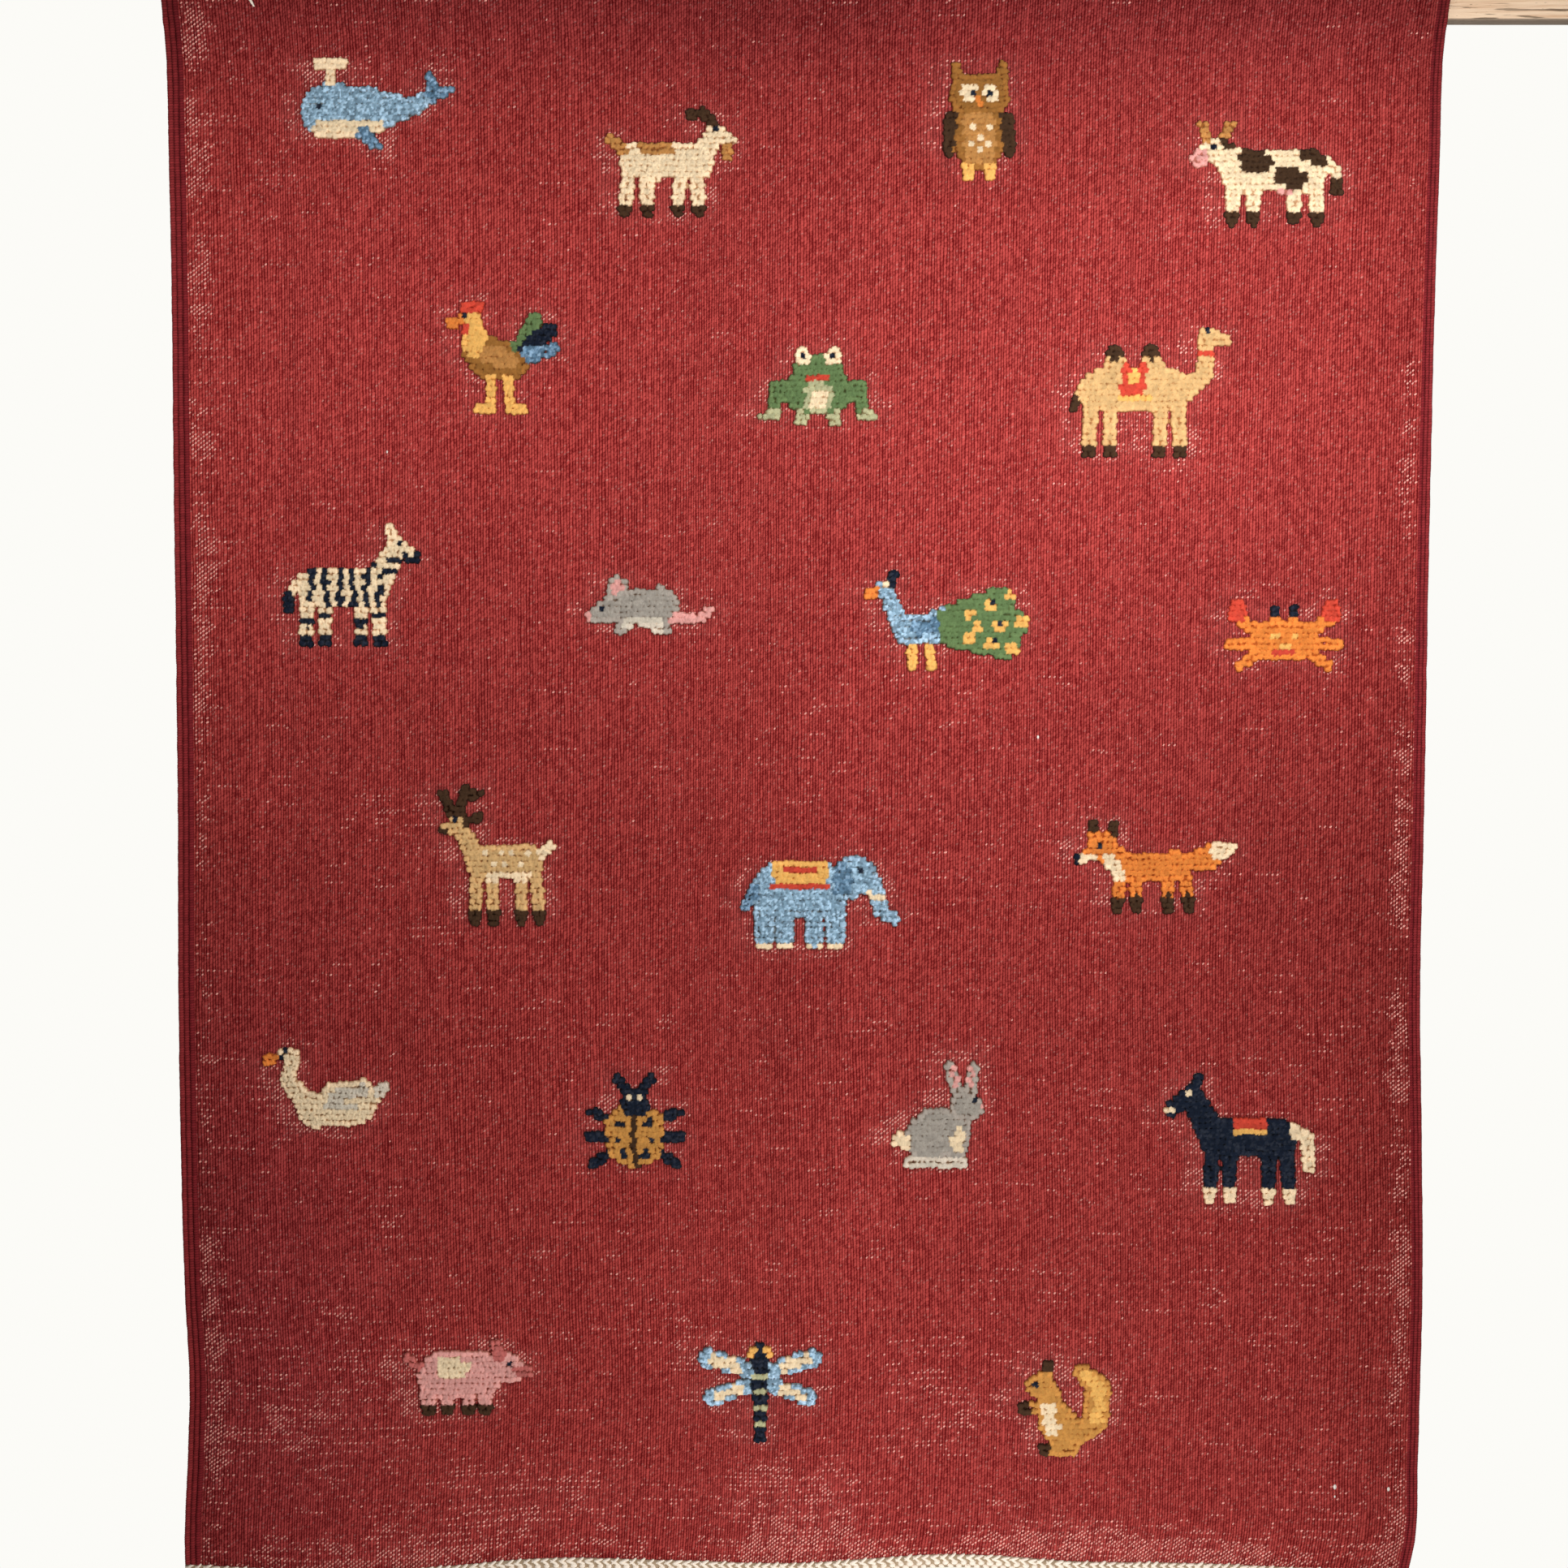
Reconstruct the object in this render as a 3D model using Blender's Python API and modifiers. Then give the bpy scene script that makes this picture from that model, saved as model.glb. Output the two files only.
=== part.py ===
"""A wool rug that hangs by its top end in front of a plain wooden bar.

The frame is metres with +Z up. The origin lies on the back face of the bar, at
the rug's centre line and at the bar's mid height. The rug's face looks along -Y.
"""
from typing import NamedTuple

import bmesh
import bpy
import numpy as np
from mathutils import Vector

# Driving sizes, in metres
CLOTH_LENGTH = 1.500
CLOTH_TOP = 0.008
CLOTH_THICKNESS = 0.003
CLOTH_COLUMNS = 28
ROWS_ON_BAR = (0.0, 0.007, 0.020)
ROWS_BELOW_BAR = 18
FIRST_ROW_BELOW_BAR = 0.070
SEAT_GAP = 0.0004
BAR_HEIGHT = 0.050
BAR_DEPTH = 0.018
BAR_LEFT = -0.585
BAR_RIGHT = 0.775
BAR_EDGE_ROUNDING = 0.0015
BAR_CLEARANCE = 0.0024
LEAVES_BAR_FROM = 0.011
CLEAR_OF_BAR_FROM = 0.029
SWELLS_FROM = 0.080
SELVEDGE_CORDS = 3
SELVEDGE_LEFT_WIDTH = 0.0155
SELVEDGE_RIGHT_WIDTH = 0.0113
CORD_BULGE_SHARE = 0.46
CORD_SHOULDERS = (0.28, 0.72)
CORD_VALLEY_SHARE = 0.5
BRAID_PITCH = 0.0086
BRAID_HEIGHT = 0.0140
BRAID_BACK = 0.0020
BRAID_LIP = 0.0016
BRAID_VALLEY = 0.0022
BRAID_VALLEY_AT = 0.0072
CHAIN_CREST_AT = 0.0038
KNOT_CREST_AT = 0.0108
LOOP_HIGH = 0.0042
LOOP_LOW = 0.0026
LOOP_PLAIN = 0.0036
BRAID_TOP_COLUMNS = 30
PILE_HEIGHT = 0.0055
LATTICE = 0.008
LATTICE_REACH = 12
CROSSING_RANGE = (0.15, 0.85)
OUTLINE_ANGLE = np.radians(14.0)
MILLIMETRE = 0.001


class Edge(NamedTuple):
    """The rug's outer edges at one distance down from its top end."""
    down: float
    left: float
    right: float


class Rise(NamedTuple):
    """How far the lower end of the cloth stands above its mean line at one place."""
    across: float
    rise: float


class Swell(NamedTuple):
    """A soft vertical ridge (towards the viewer, positive) in the hanging cloth."""
    across: float
    half_width: float
    top: float
    middle: float
    bottom: float


class Limb(NamedTuple):
    """A tapered, round-ended stroke of a pile figure, in millimetres from its middle."""
    x0: float
    z0: float
    x1: float
    z1: float
    r0: float
    r1: float


class Place(NamedTuple):
    """Where a figure sits: across and down from the top of the rug, and where it faces."""
    figure: str
    across: float
    down: float
    faces: int
    yarn: str


EDGES = (
    Edge(0.000, -0.598, 0.605),
    Edge(0.050, -0.593, 0.598),
    Edge(0.160, -0.591, 0.595),
    Edge(0.470, -0.591, 0.591),
    Edge(0.780, -0.592, 0.590),
    Edge(0.940, -0.594, 0.589),
    Edge(1.090, -0.594, 0.593),
    Edge(1.240, -0.592, 0.596),
    Edge(1.320, -0.589, 0.595),
    Edge(1.400, -0.592, 0.594),
    Edge(1.475, -0.596, 0.592),
    Edge(1.500, -0.596, 0.587),
)

LOWER_END = (
    Rise(-0.600, -0.001),
    Rise(-0.490, -0.005),
    Rise(-0.370, -0.005),
    Rise(-0.245, 0.003),
    Rise(-0.120, 0.001),
    Rise(0.000, -0.002),
    Rise(0.065, 0.004),
    Rise(0.130, 0.010),
    Rise(0.190, 0.009),
    Rise(0.250, 0.003),
    Rise(0.430, -0.003),
    Rise(0.600, -0.005),
)

SWELLS = (
    Swell(-0.470, 0.110, 0.0000, 0.0025, 0.0050),
    Swell(-0.230, 0.120, 0.0000, -0.0020, -0.0035),
    Swell(-0.020, 0.090, 0.0000, -0.0030, -0.0045),
    Swell(0.170, 0.110, 0.0000, 0.0030, 0.0060),
    Swell(0.360, 0.090, 0.0000, -0.0015, -0.0040),
    Swell(0.530, 0.080, 0.0000, 0.0025, 0.0050),
)

FIGURES = {
    "whale": (
        Limb(-36, 0, 0, 0, 26, 23),
        Limb(0, 0, 42, 4, 22, 9),
        Limb(42, 4, 62, 16, 8, 7),
        Limb(62, 16, 58, 32, 7, 5),
        Limb(62, 16, 76, 20, 7, 5),
        Limb(-8, -16, 8, -32, 8, 5),
        Limb(-34, 24, -34, 40, 5, 5),
        Limb(-46, 44, -22, 44, 5, 5),
    ),
    "goat": (
        Limb(-26, 0, 28, 2, 17, 18),
        Limb(-28, 4, -44, 26, 11, 9),
        Limb(-44, 28, -58, 20, 9, 6),
        Limb(-42, 34, -32, 47, 5, 5),
        Limb(-32, 47, -20, 44, 5, 5),
        Limb(-55, 16, -55, 4, 5, 5),
        Limb(-26, -12, -29, -44, 7, 6),
        Limb(-10, -12, -9, -44, 6, 6),
        Limb(20, -12, 20, -44, 7, 6),
        Limb(36, -8, 41, -44, 7, 6),
        Limb(42, 12, 54, 22, 6, 5),
    ),
    "owl": (
        Limb(0, -8, 0, -22, 26, 22),
        Limb(-8, 24, 8, 24, 20, 20),
        Limb(-18, 36, -22, 50, 8, 5),
        Limb(18, 36, 22, 50, 8, 5),
        Limb(-24, 2, -28, -26, 9, 6),
        Limb(24, 2, 28, -26, 9, 6),
        Limb(-10, -40, -10, -48, 6, 6),
        Limb(10, -40, 10, -48, 6, 6),
    ),
    "cow": (
        Limb(-26, 0, 34, 0, 20, 21),
        Limb(-36, 8, -46, 18, 14, 12),
        Limb(-50, 20, -66, 10, 12, 8),
        Limb(-42, 30, -36, 42, 5, 5),
        Limb(-58, 28, -62, 42, 5, 5),
        Limb(-32, -14, -34, -46, 8, 6),
        Limb(-14, -14, -14, -46, 7, 6),
        Limb(24, -14, 24, -46, 7, 6),
        Limb(44, -10, 46, -46, 8, 6),
        Limb(53, 10, 64, -2, 5, 5),
        Limb(64, -2, 64, -20, 5, 6),
    ),
    "rooster": (
        Limb(-4, 0, 16, -4, 20, 18),
        Limb(-14, 6, -20, 34, 15, 9),
        Limb(-20, 36, -24, 36, 10, 9),
        Limb(-26, 46, -12, 48, 5, 5),
        Limb(-30, 34, -40, 32, 6, 5),
        Limb(26, 6, 40, 36, 9, 7),
        Limb(28, 4, 54, 26, 9, 7),
        Limb(26, -2, 58, 8, 8, 6),
        Limb(-2, -16, -2, -46, 5, 5),
        Limb(-2, -48, -14, -48, 5, 5),
        Limb(14, -16, 16, -46, 5, 5),
        Limb(16, -48, 28, -48, 5, 5),
    ),
    "frog": (
        Limb(-10, -4, 10, -4, 21, 21),
        Limb(-8, 14, 8, 14, 16, 16),
        Limb(-14, 26, -15, 30, 8, 7),
        Limb(14, 26, 15, 30, 8, 7),
        Limb(-24, -10, -38, 0, 9, 8),
        Limb(-38, 0, -42, -26, 7, 6),
        Limb(-42, -27, -52, -28, 6, 5),
        Limb(24, -10, 38, 0, 9, 8),
        Limb(38, 0, 42, -26, 7, 6),
        Limb(42, -27, 52, -28, 6, 5),
        Limb(-12, -20, -16, -32, 7, 6),
        Limb(12, -20, 16, -32, 7, 6),
    ),
    "camel": (
        Limb(-30, 0, 34, 0, 20, 20),
        Limb(-14, 16, -12, 34, 14, 8),
        Limb(20, 16, 22, 34, 14, 8),
        Limb(-44, 0, -62, 14, 11, 9),
        Limb(-62, 14, -64, 46, 9, 8),
        Limb(-64, 50, -80, 46, 9, 7),
        Limb(-38, -12, -40, -60, 8, 6),
        Limb(-22, -12, -20, -60, 7, 6),
        Limb(26, -12, 26, -60, 7, 6),
        Limb(44, -10, 46, -60, 8, 6),
        Limb(50, 6, 60, -16, 5, 5),
    ),
    "zebra": (
        Limb(-24, 0, 28, 0, 18, 18),
        Limb(-32, 8, -46, 34, 13, 10),
        Limb(-48, 40, -64, 28, 9, 7),
        Limb(-44, 48, -42, 56, 5, 5),
        Limb(-30, -12, -32, -52, 7, 6),
        Limb(-14, -12, -14, -52, 6, 6),
        Limb(20, -12, 20, -52, 6, 6),
        Limb(36, -10, 38, -52, 7, 6),
        Limb(42, 8, 54, -8, 5, 5),
        Limb(54, -8, 54, -18, 5, 6),
    ),
    "mouse": (
        Limb(-8, -4, 20, -4, 17, 20),
        Limb(-26, -6, -44, -12, 13, 6),
        Limb(-20, 14, -19, 16, 10, 10),
        Limb(36, -14, 58, -16, 6, 5),
        Limb(58, -16, 68, -4, 5, 5),
        Limb(-10, -20, -18, -25, 6, 5),
        Limb(16, -22, 28, -26, 6, 5),
    ),
    "peacock": (
        Limb(-30, 0, -6, 2, 14, 13),
        Limb(-38, 6, -50, 34, 9, 7),
        Limb(-51, 38, -54, 38, 8, 8),
        Limb(-60, 36, -68, 34, 5, 5),
        Limb(-47, 44, -43, 54, 5, 5),
        Limb(-2, 8, 58, 28, 12, 14),
        Limb(0, -2, 62, -14, 12, 14),
        Limb(0, 4, 70, 6, 12, 14),
        Limb(-26, -12, -26, -36, 5, 5),
        Limb(-10, -12, -8, -36, 5, 5),
    ),
    "crab": (
        Limb(-15, 0, 15, 0, 18, 18),
        Limb(-24, 8, -42, 20, 7, 6),
        Limb(-44, 24, -44, 34, 10, 7),
        Limb(24, 8, 42, 20, 7, 6),
        Limb(44, 24, 44, 34, 10, 7),
        Limb(-26, -2, -52, -4, 6, 5),
        Limb(26, -2, 52, -4, 6, 5),
        Limb(-22, -10, -42, -24, 6, 5),
        Limb(22, -10, 42, -24, 6, 5),
        Limb(-8, 16, -9, 28, 5, 5),
        Limb(8, 16, 9, 28, 5, 5),
    ),
    "deer": (
        Limb(-18, -6, 24, -4, 16, 16),
        Limb(-26, 2, -38, 26, 10, 8),
        Limb(-40, 32, -54, 26, 9, 6),
        Limb(-32, 34, -22, 38, 5, 5),
        Limb(-40, 40, -34, 66, 5, 5),
        Limb(-36, 54, -22, 62, 5, 5),
        Limb(-46, 38, -56, 62, 5, 5),
        Limb(-24, -16, -26, -60, 6, 6),
        Limb(-10, -16, -8, -60, 6, 6),
        Limb(18, -16, 18, -60, 6, 6),
        Limb(32, -14, 35, -60, 6, 6),
        Limb(36, 2, 46, 10, 6, 5),
    ),
    "elephant": (
        Limb(-8, 4, 30, 4, 27, 27),
        Limb(-40, 16, -42, 16, 21, 20),
        Limb(-58, 8, -66, -18, 9, 7),
        Limb(-66, -18, -78, -24, 7, 6),
        Limb(-22, -14, -22, -46, 10, 9),
        Limb(-2, -14, -2, -46, 9, 9),
        Limb(26, -14, 26, -46, 9, 9),
        Limb(46, -10, 46, -46, 10, 9),
        Limb(54, 8, 64, -14, 5, 5),
    ),
    "fox": (
        Limb(-24, 0, 26, 2, 14, 14),
        Limb(-28, 4, -42, 16, 13, 12),
        Limb(-44, 18, -48, 18, 12, 12),
        Limb(-50, 14, -68, 8, 8, 5),
        Limb(-38, 26, -34, 40, 7, 5),
        Limb(-52, 26, -54, 40, 7, 5),
        Limb(-28, -8, -30, -38, 6, 6),
        Limb(-13, -8, -12, -38, 6, 6),
        Limb(18, -8, 18, -38, 6, 6),
        Limb(34, -6, 38, -38, 6, 6),
        Limb(36, 4, 58, 10, 8, 12),
        Limb(60, 12, 78, 20, 12, 6),
    ),
    "swan": (
        Limb(-14, -12, 26, -10, 18, 16),
        Limb(34, -4, 52, 10, 11, 5),
        Limb(2, 2, 32, 10, 12, 8),
        Limb(-26, -2, -40, 16, 10, 8),
        Limb(-40, 16, -36, 36, 7, 7),
        Limb(-36, 40, -44, 40, 8, 7),
        Limb(-52, 38, -60, 36, 5, 5),
    ),
    "beetle": (
        Limb(0, 2, 0, -6, 28, 28),
        Limb(0, 28, 0, 34, 14, 11),
        Limb(-6, 40, -16, 52, 5, 5),
        Limb(6, 40, 16, 52, 5, 5),
        Limb(-24, 12, -42, 20, 5, 5),
        Limb(24, 12, 42, 20, 5, 5),
        Limb(-26, -4, -44, -4, 5, 5),
        Limb(26, -4, 44, -4, 5, 5),
        Limb(-24, -20, -40, -30, 5, 5),
        Limb(24, -20, 40, -30, 5, 5),
    ),
    "rabbit": (
        Limb(6, -8, 14, -14, 24, 23),
        Limb(-14, -4, -12, -24, 13, 11),
        Limb(-20, 18, -27, 16, 14, 12),
        Limb(-14, 30, -6, 54, 6, 6),
        Limb(-26, 30, -28, 54, 6, 6),
        Limb(-18, -38, -2, -38, 6, 6),
        Limb(6, -38, 32, -38, 7, 6),
        Limb(36, -18, 42, -16, 8, 8),
    ),
    "horse": (
        Limb(-26, 0, 30, 0, 19, 19),
        Limb(-34, 8, -50, 36, 14, 11),
        Limb(-52, 42, -72, 28, 10, 7),
        Limb(-48, 50, -46, 58, 5, 5),
        Limb(-32, -12, -34, -58, 7, 6),
        Limb(-16, -12, -15, -58, 7, 6),
        Limb(22, -12, 22, -58, 7, 6),
        Limb(38, -10, 42, -58, 8, 6),
        Limb(44, 8, 58, 0, 7, 7),
        Limb(58, 0, 60, -28, 7, 6),
    ),
    "pig": (
        Limb(-16, 0, 22, 0, 22, 23),
        Limb(-38, 6, -42, 6, 16, 15),
        Limb(-52, 2, -60, 2, 8, 7),
        Limb(-34, 18, -30, 30, 7, 5),
        Limb(-20, -16, -20, -36, 8, 6),
        Limb(-4, -16, -4, -36, 7, 6),
        Limb(16, -16, 16, -36, 7, 6),
        Limb(34, -14, 34, -36, 8, 6),
        Limb(42, 8, 54, 16, 5, 5),
    ),
    "dragonfly": (
        Limb(0, 24, 0, -50, 8, 5),
        Limb(-2, 34, 2, 34, 10, 10),
        Limb(-8, 18, -50, 30, 8, 10),
        Limb(8, 18, 50, 30, 8, 10),
        Limb(-8, 4, -46, -8, 7, 9),
        Limb(8, 4, 46, -8, 7, 9),
    ),
    "squirrel": (
        Limb(0, -14, 6, -22, 18, 19),
        Limb(-6, 2, -8, 12, 13, 12),
        Limb(-14, 22, -22, 20, 12, 9),
        Limb(-10, 32, -8, 42, 6, 5),
        Limb(-12, 0, -32, -2, 6, 6),
        Limb(-12, -42, 16, -42, 6, 7),
        Limb(18, -30, 36, -18, 9, 12),
        Limb(38, -14, 40, 16, 13, 13),
        Limb(38, 20, 24, 34, 12, 8),
    ),
}

FACES_LEFT = 1
FACES_RIGHT = -1

PLACES = (
    Place("whale", -0.405, 0.118, FACES_LEFT, "blue"),
    Place("goat", -0.125, 0.165, FACES_RIGHT, "cream"),
    Place("owl", 0.165, 0.128, FACES_LEFT, "brown"),
    Place("cow", 0.435, 0.172, FACES_LEFT, "cream"),
    Place("rooster", -0.290, 0.345, FACES_LEFT, "brown"),
    Place("frog", 0.015, 0.372, FACES_LEFT, "green"),
    Place("camel", 0.315, 0.375, FACES_RIGHT, "tan"),
    Place("zebra", -0.430, 0.560, FACES_RIGHT, "cream"),
    Place("mouse", -0.155, 0.575, FACES_LEFT, "grey"),
    Place("peacock", 0.130, 0.600, FACES_LEFT, "blue"),
    Place("crab", 0.455, 0.610, FACES_LEFT, "orange"),
    Place("deer", -0.285, 0.815, FACES_LEFT, "tan"),
    Place("elephant", 0.010, 0.850, FACES_RIGHT, "blue"),
    Place("fox", 0.330, 0.825, FACES_LEFT, "orange"),
    Place("swan", -0.450, 1.045, FACES_LEFT, "cream"),
    Place("beetle", -0.160, 1.080, FACES_LEFT, "gold"),
    Place("rabbit", 0.135, 1.070, FACES_RIGHT, "grey"),
    Place("horse", 0.425, 1.085, FACES_LEFT, "navy"),
    Place("pig", -0.325, 1.315, FACES_RIGHT, "pink"),
    Place("dragonfly", -0.040, 1.330, FACES_LEFT, "blue"),
    Place("squirrel", 0.245, 1.345, FACES_LEFT, "gold"),
)

YARNS = {
    "cream": (0.83, 0.70, 0.52),
    "blue": (0.27, 0.42, 0.56),
    "brown": (0.30, 0.13, 0.04),
    "gold": (0.50, 0.23, 0.06),
    "tan": (0.64, 0.43, 0.20),
    "green": (0.12, 0.20, 0.07),
    "grey": (0.38, 0.33, 0.27),
    "orange": (0.72, 0.24, 0.05),
    "navy": (0.010, 0.022, 0.050),
    "pink": (0.62, 0.22, 0.19),
}


def smooth_curve(at, known, values):
    """A cubic through the known values, with the slope at each one from its neighbours."""
    known = np.asarray(known, float)
    values = np.asarray(values, float)
    slopes = np.gradient(values, known)
    at = np.clip(at, known[0], known[-1])
    i = np.clip(np.searchsorted(known, at, side="right") - 1, 0, len(known) - 2)
    span = known[i + 1] - known[i]
    t = (at - known[i]) / span
    start = values[i] * (2 * t**3 - 3 * t**2 + 1) + slopes[i] * span * (t**3 - 2 * t**2 + t)
    end = values[i + 1] * (3 * t**2 - 2 * t**3) + slopes[i + 1] * span * (t**3 - t**2)
    return start + end


def edge_at(down, side):
    """The outer edge of the rug on one side, this far down from its top end."""
    return smooth_curve(down, [e.down for e in EDGES], [getattr(e, side) for e in EDGES])


def lower_end_at(x):
    """The height of the lower end of the cloth."""
    rise = smooth_curve(x, [r.across for r in LOWER_END], [r.rise for r in LOWER_END])
    return CLOTH_TOP - CLOTH_LENGTH + rise


def height_at(x, t):
    """The height of a point a share t of the way down the cloth."""
    return CLOTH_TOP + t * (lower_end_at(x) - CLOTH_TOP)


def depth_at(x, z):
    """The middle of the cloth's thickness: close to the bar above, then free, with soft swells."""
    down = CLOTH_TOP - z
    near = -BAR_DEPTH - SEAT_GAP - CLOTH_THICKNESS / 2
    off = -BAR_DEPTH - BAR_CLEARANCE - CLOTH_THICKNESS / 2
    y = np.interp(down, (LEAVES_BAR_FROM, CLEAR_OF_BAR_FROM), (near, off))
    for swell in SWELLS:
        known = (0.0, SWELLS_FROM, CLOTH_LENGTH / 2, CLOTH_LENGTH)
        size = smooth_curve(down, known, (0.0, swell.top, swell.middle, swell.bottom))
        y = y - size * np.exp(-((x - swell.across) / swell.half_width) ** 2)
    return y


def yarn_material(name, colour, roughness):
    """A Principled material with one plain colour."""
    material = bpy.data.materials.new(name)
    material.use_nodes = True
    shader = material.node_tree.nodes["Principled BSDF"]
    shader.inputs["Base Color"].default_value = (*colour, 1.0)
    shader.inputs["Roughness"].default_value = roughness
    shader.inputs["Metallic"].default_value = 0.0
    return material


def add_object(name, builder, collection, material):
    """Puts the finished bmesh into a named object of its own."""
    mesh = bpy.data.meshes.new(name)
    builder.to_mesh(mesh)
    builder.free()
    mesh.materials.append(material)
    piece = bpy.data.objects.new(name, mesh)
    collection.objects.link(piece)
    return piece


def add_solidify(piece, thickness, offset):
    """Gives an open surface its thickness."""
    wall = piece.modifiers.new("Thickness", "SOLIDIFY")
    wall.thickness = thickness
    wall.offset = offset
    wall.use_even_offset = False


def loft(sections):
    """A closed solid through rings of equal point counts, with a flat face at each end."""
    builder = bmesh.new()
    rings = [[builder.verts.new(point) for point in ring] for ring in sections]
    for lower, upper in zip(rings, rings[1:]):
        for i in range(len(lower)):
            j = (i + 1) % len(lower)
            builder.faces.new((lower[i], lower[j], upper[j], upper[i]))
    builder.faces.new(rings[0])
    builder.faces.new(rings[-1])
    bmesh.ops.triangulate(builder, faces=builder.faces)
    bmesh.ops.recalc_face_normals(builder, faces=builder.faces)
    return builder


def cloth_across(u, down):
    """The x of a point a share u of the way between the two selvedges."""
    left = edge_at(down, "left") + SELVEDGE_LEFT_WIDTH + SEAT_GAP
    right = edge_at(down, "right") - SELVEDGE_RIGHT_WIDTH - SEAT_GAP
    return left + u * (right - left)


def row_shares():
    """How far down the cloth each row of its grid lies: close rows on the bar, even ones below."""
    below = np.linspace(FIRST_ROW_BELOW_BAR, 1.0, ROWS_BELOW_BAR)
    return [float(t) for t in (*ROWS_ON_BAR, *below)]


def build_cloth(collection, material):
    """The woven field: a grid sheet that hangs in soft swells, with its real thickness."""
    shares = row_shares()
    rows = len(shares) - 1
    builder = bmesh.new()
    bmesh.ops.create_grid(builder, x_segments=CLOTH_COLUMNS, y_segments=rows, size=0.5)
    for vert in builder.verts:
        u = vert.co.x + 0.5
        t = shares[round((0.5 - vert.co.y) * rows)]
        x = float(cloth_across(u, t * CLOTH_LENGTH))
        z = float(height_at(x, t))
        vert.co = Vector((x, float(depth_at(x, z)), z))
    cloth = add_object("rug_cloth", builder, collection, material)
    add_solidify(cloth, CLOTH_THICKNESS, 0.0)


def selvedge_ring(side, t):
    """A ring round the side-by-side cords at one height, pressed flat where they lie on the bar."""
    down = t * CLOTH_LENGTH
    edge = float(edge_at(down, side))
    inward, width = (1, SELVEDGE_LEFT_WIDTH) if side == "left" else (-1, SELVEDGE_RIGHT_WIDTH)
    cord = width / SELVEDGE_CORDS
    crest = CORD_BULGE_SHARE * cord + CLOTH_THICKNESS / 4
    valley = CORD_VALLEY_SHARE * crest
    row = [(0.0, 0.0)]
    for i in range(SELVEDGE_CORDS):
        row += [((i + shoulder) * cord, crest) for shoulder in CORD_SHOULDERS]
        if i < SELVEDGE_CORDS - 1:
            row.append(((i + 1) * cord, valley))
    row.append((width, 0.0))
    front = [(across, -bulge) for across, bulge in row]
    back = [(across, bulge) for across, bulge in row[-2:0:-1]]
    on_bar = t <= ROWS_ON_BAR[-1]
    ring = []
    for across, bulge in front + back:
        x = edge + inward * across
        z = float(height_at(x, t))
        y = float(depth_at(edge, z)) + bulge
        ring.append((x, min(y, -BAR_DEPTH - SEAT_GAP) if on_bar else y, z))
    return ring


def build_selvedge(side, collection, material):
    """The side edge: three thick cords wrapped by the weft, seen as three round ribs."""
    builder = loft([selvedge_ring(side, t) for t in row_shares()])
    add_object("selvedge_" + side, builder, collection, material)


def braid_section(x, fell, outward, chain_crest, knot_crest):
    """One section of a cotton end finish: a chained row beside the cloth, then a knotted row."""
    profile = (
        (BRAID_BACK, SEAT_GAP),
        (-BRAID_LIP, SEAT_GAP),
        (-chain_crest, CHAIN_CREST_AT),
        (-BRAID_VALLEY, BRAID_VALLEY_AT),
        (-knot_crest, KNOT_CREST_AT),
        (-BRAID_LIP, BRAID_HEIGHT),
        (BRAID_BACK, BRAID_HEIGHT),
    )
    middle = float(depth_at(x, fell))
    return [(x, middle + bulge, fell + outward * away) for bulge, away in profile]


def build_lower_braid(collection, material):
    """The cotton finish of the lower end, with every loop and knot raised on its face."""
    left = float(edge_at(CLOTH_LENGTH, "left"))
    right = float(edge_at(CLOTH_LENGTH, "right"))
    columns = cloth_across(np.linspace(0.0, 1.0, CLOTH_COLUMNS + 1), CLOTH_LENGTH)
    corners = np.concatenate(([left], columns, [right]))
    steps = 2 * round((right - left) / BRAID_PITCH)
    sections = []
    for i in range(steps + 1):
        x = left + (right - left) * i / steps
        fell = float(np.interp(x, corners, lower_end_at(corners)))
        chain, knot = (LOOP_HIGH, LOOP_LOW) if i % 2 else (LOOP_LOW, LOOP_HIGH)
        sections.append(braid_section(x, fell, -1, chain, knot))
    add_object("end_braid_lower", loft(sections), collection, material)


def build_upper_braid(collection, material):
    """The same finish on the upper end, plain, and flat enough to lie on the bar."""
    left = float(edge_at(0.0, "left"))
    right = float(edge_at(0.0, "right"))
    sections = []
    for x in np.linspace(left, right, BRAID_TOP_COLUMNS + 1):
        ring = braid_section(float(x), CLOTH_TOP, 1, LOOP_PLAIN, LOOP_PLAIN)
        back = -BAR_DEPTH - SEAT_GAP
        sections.append([(px, min(py, back), pz) for px, py, pz in ring])
    add_object("end_braid_upper", loft(sections), collection, material)


def inside_by(x, z, limbs, faces):
    """How far a point lies inside the edge of a figure, and below zero outside it."""
    best = np.full(x.shape, -1.0)
    for limb in limbs:
        start = np.array((limb.x0 * faces, limb.z0)) * MILLIMETRE
        along = np.array((limb.x1 * faces, limb.z1)) * MILLIMETRE - start
        reach = float(along @ along)
        t = np.clip(((x - start[0]) * along[0] + (z - start[1]) * along[1]) / reach, 0, 1)
        radius = (limb.r0 + t * (limb.r1 - limb.r0)) * MILLIMETRE
        distance = np.hypot(x - start[0] - t * along[0], z - start[1] - t * along[1])
        best = np.maximum(best, radius - distance)
    return best


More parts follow.
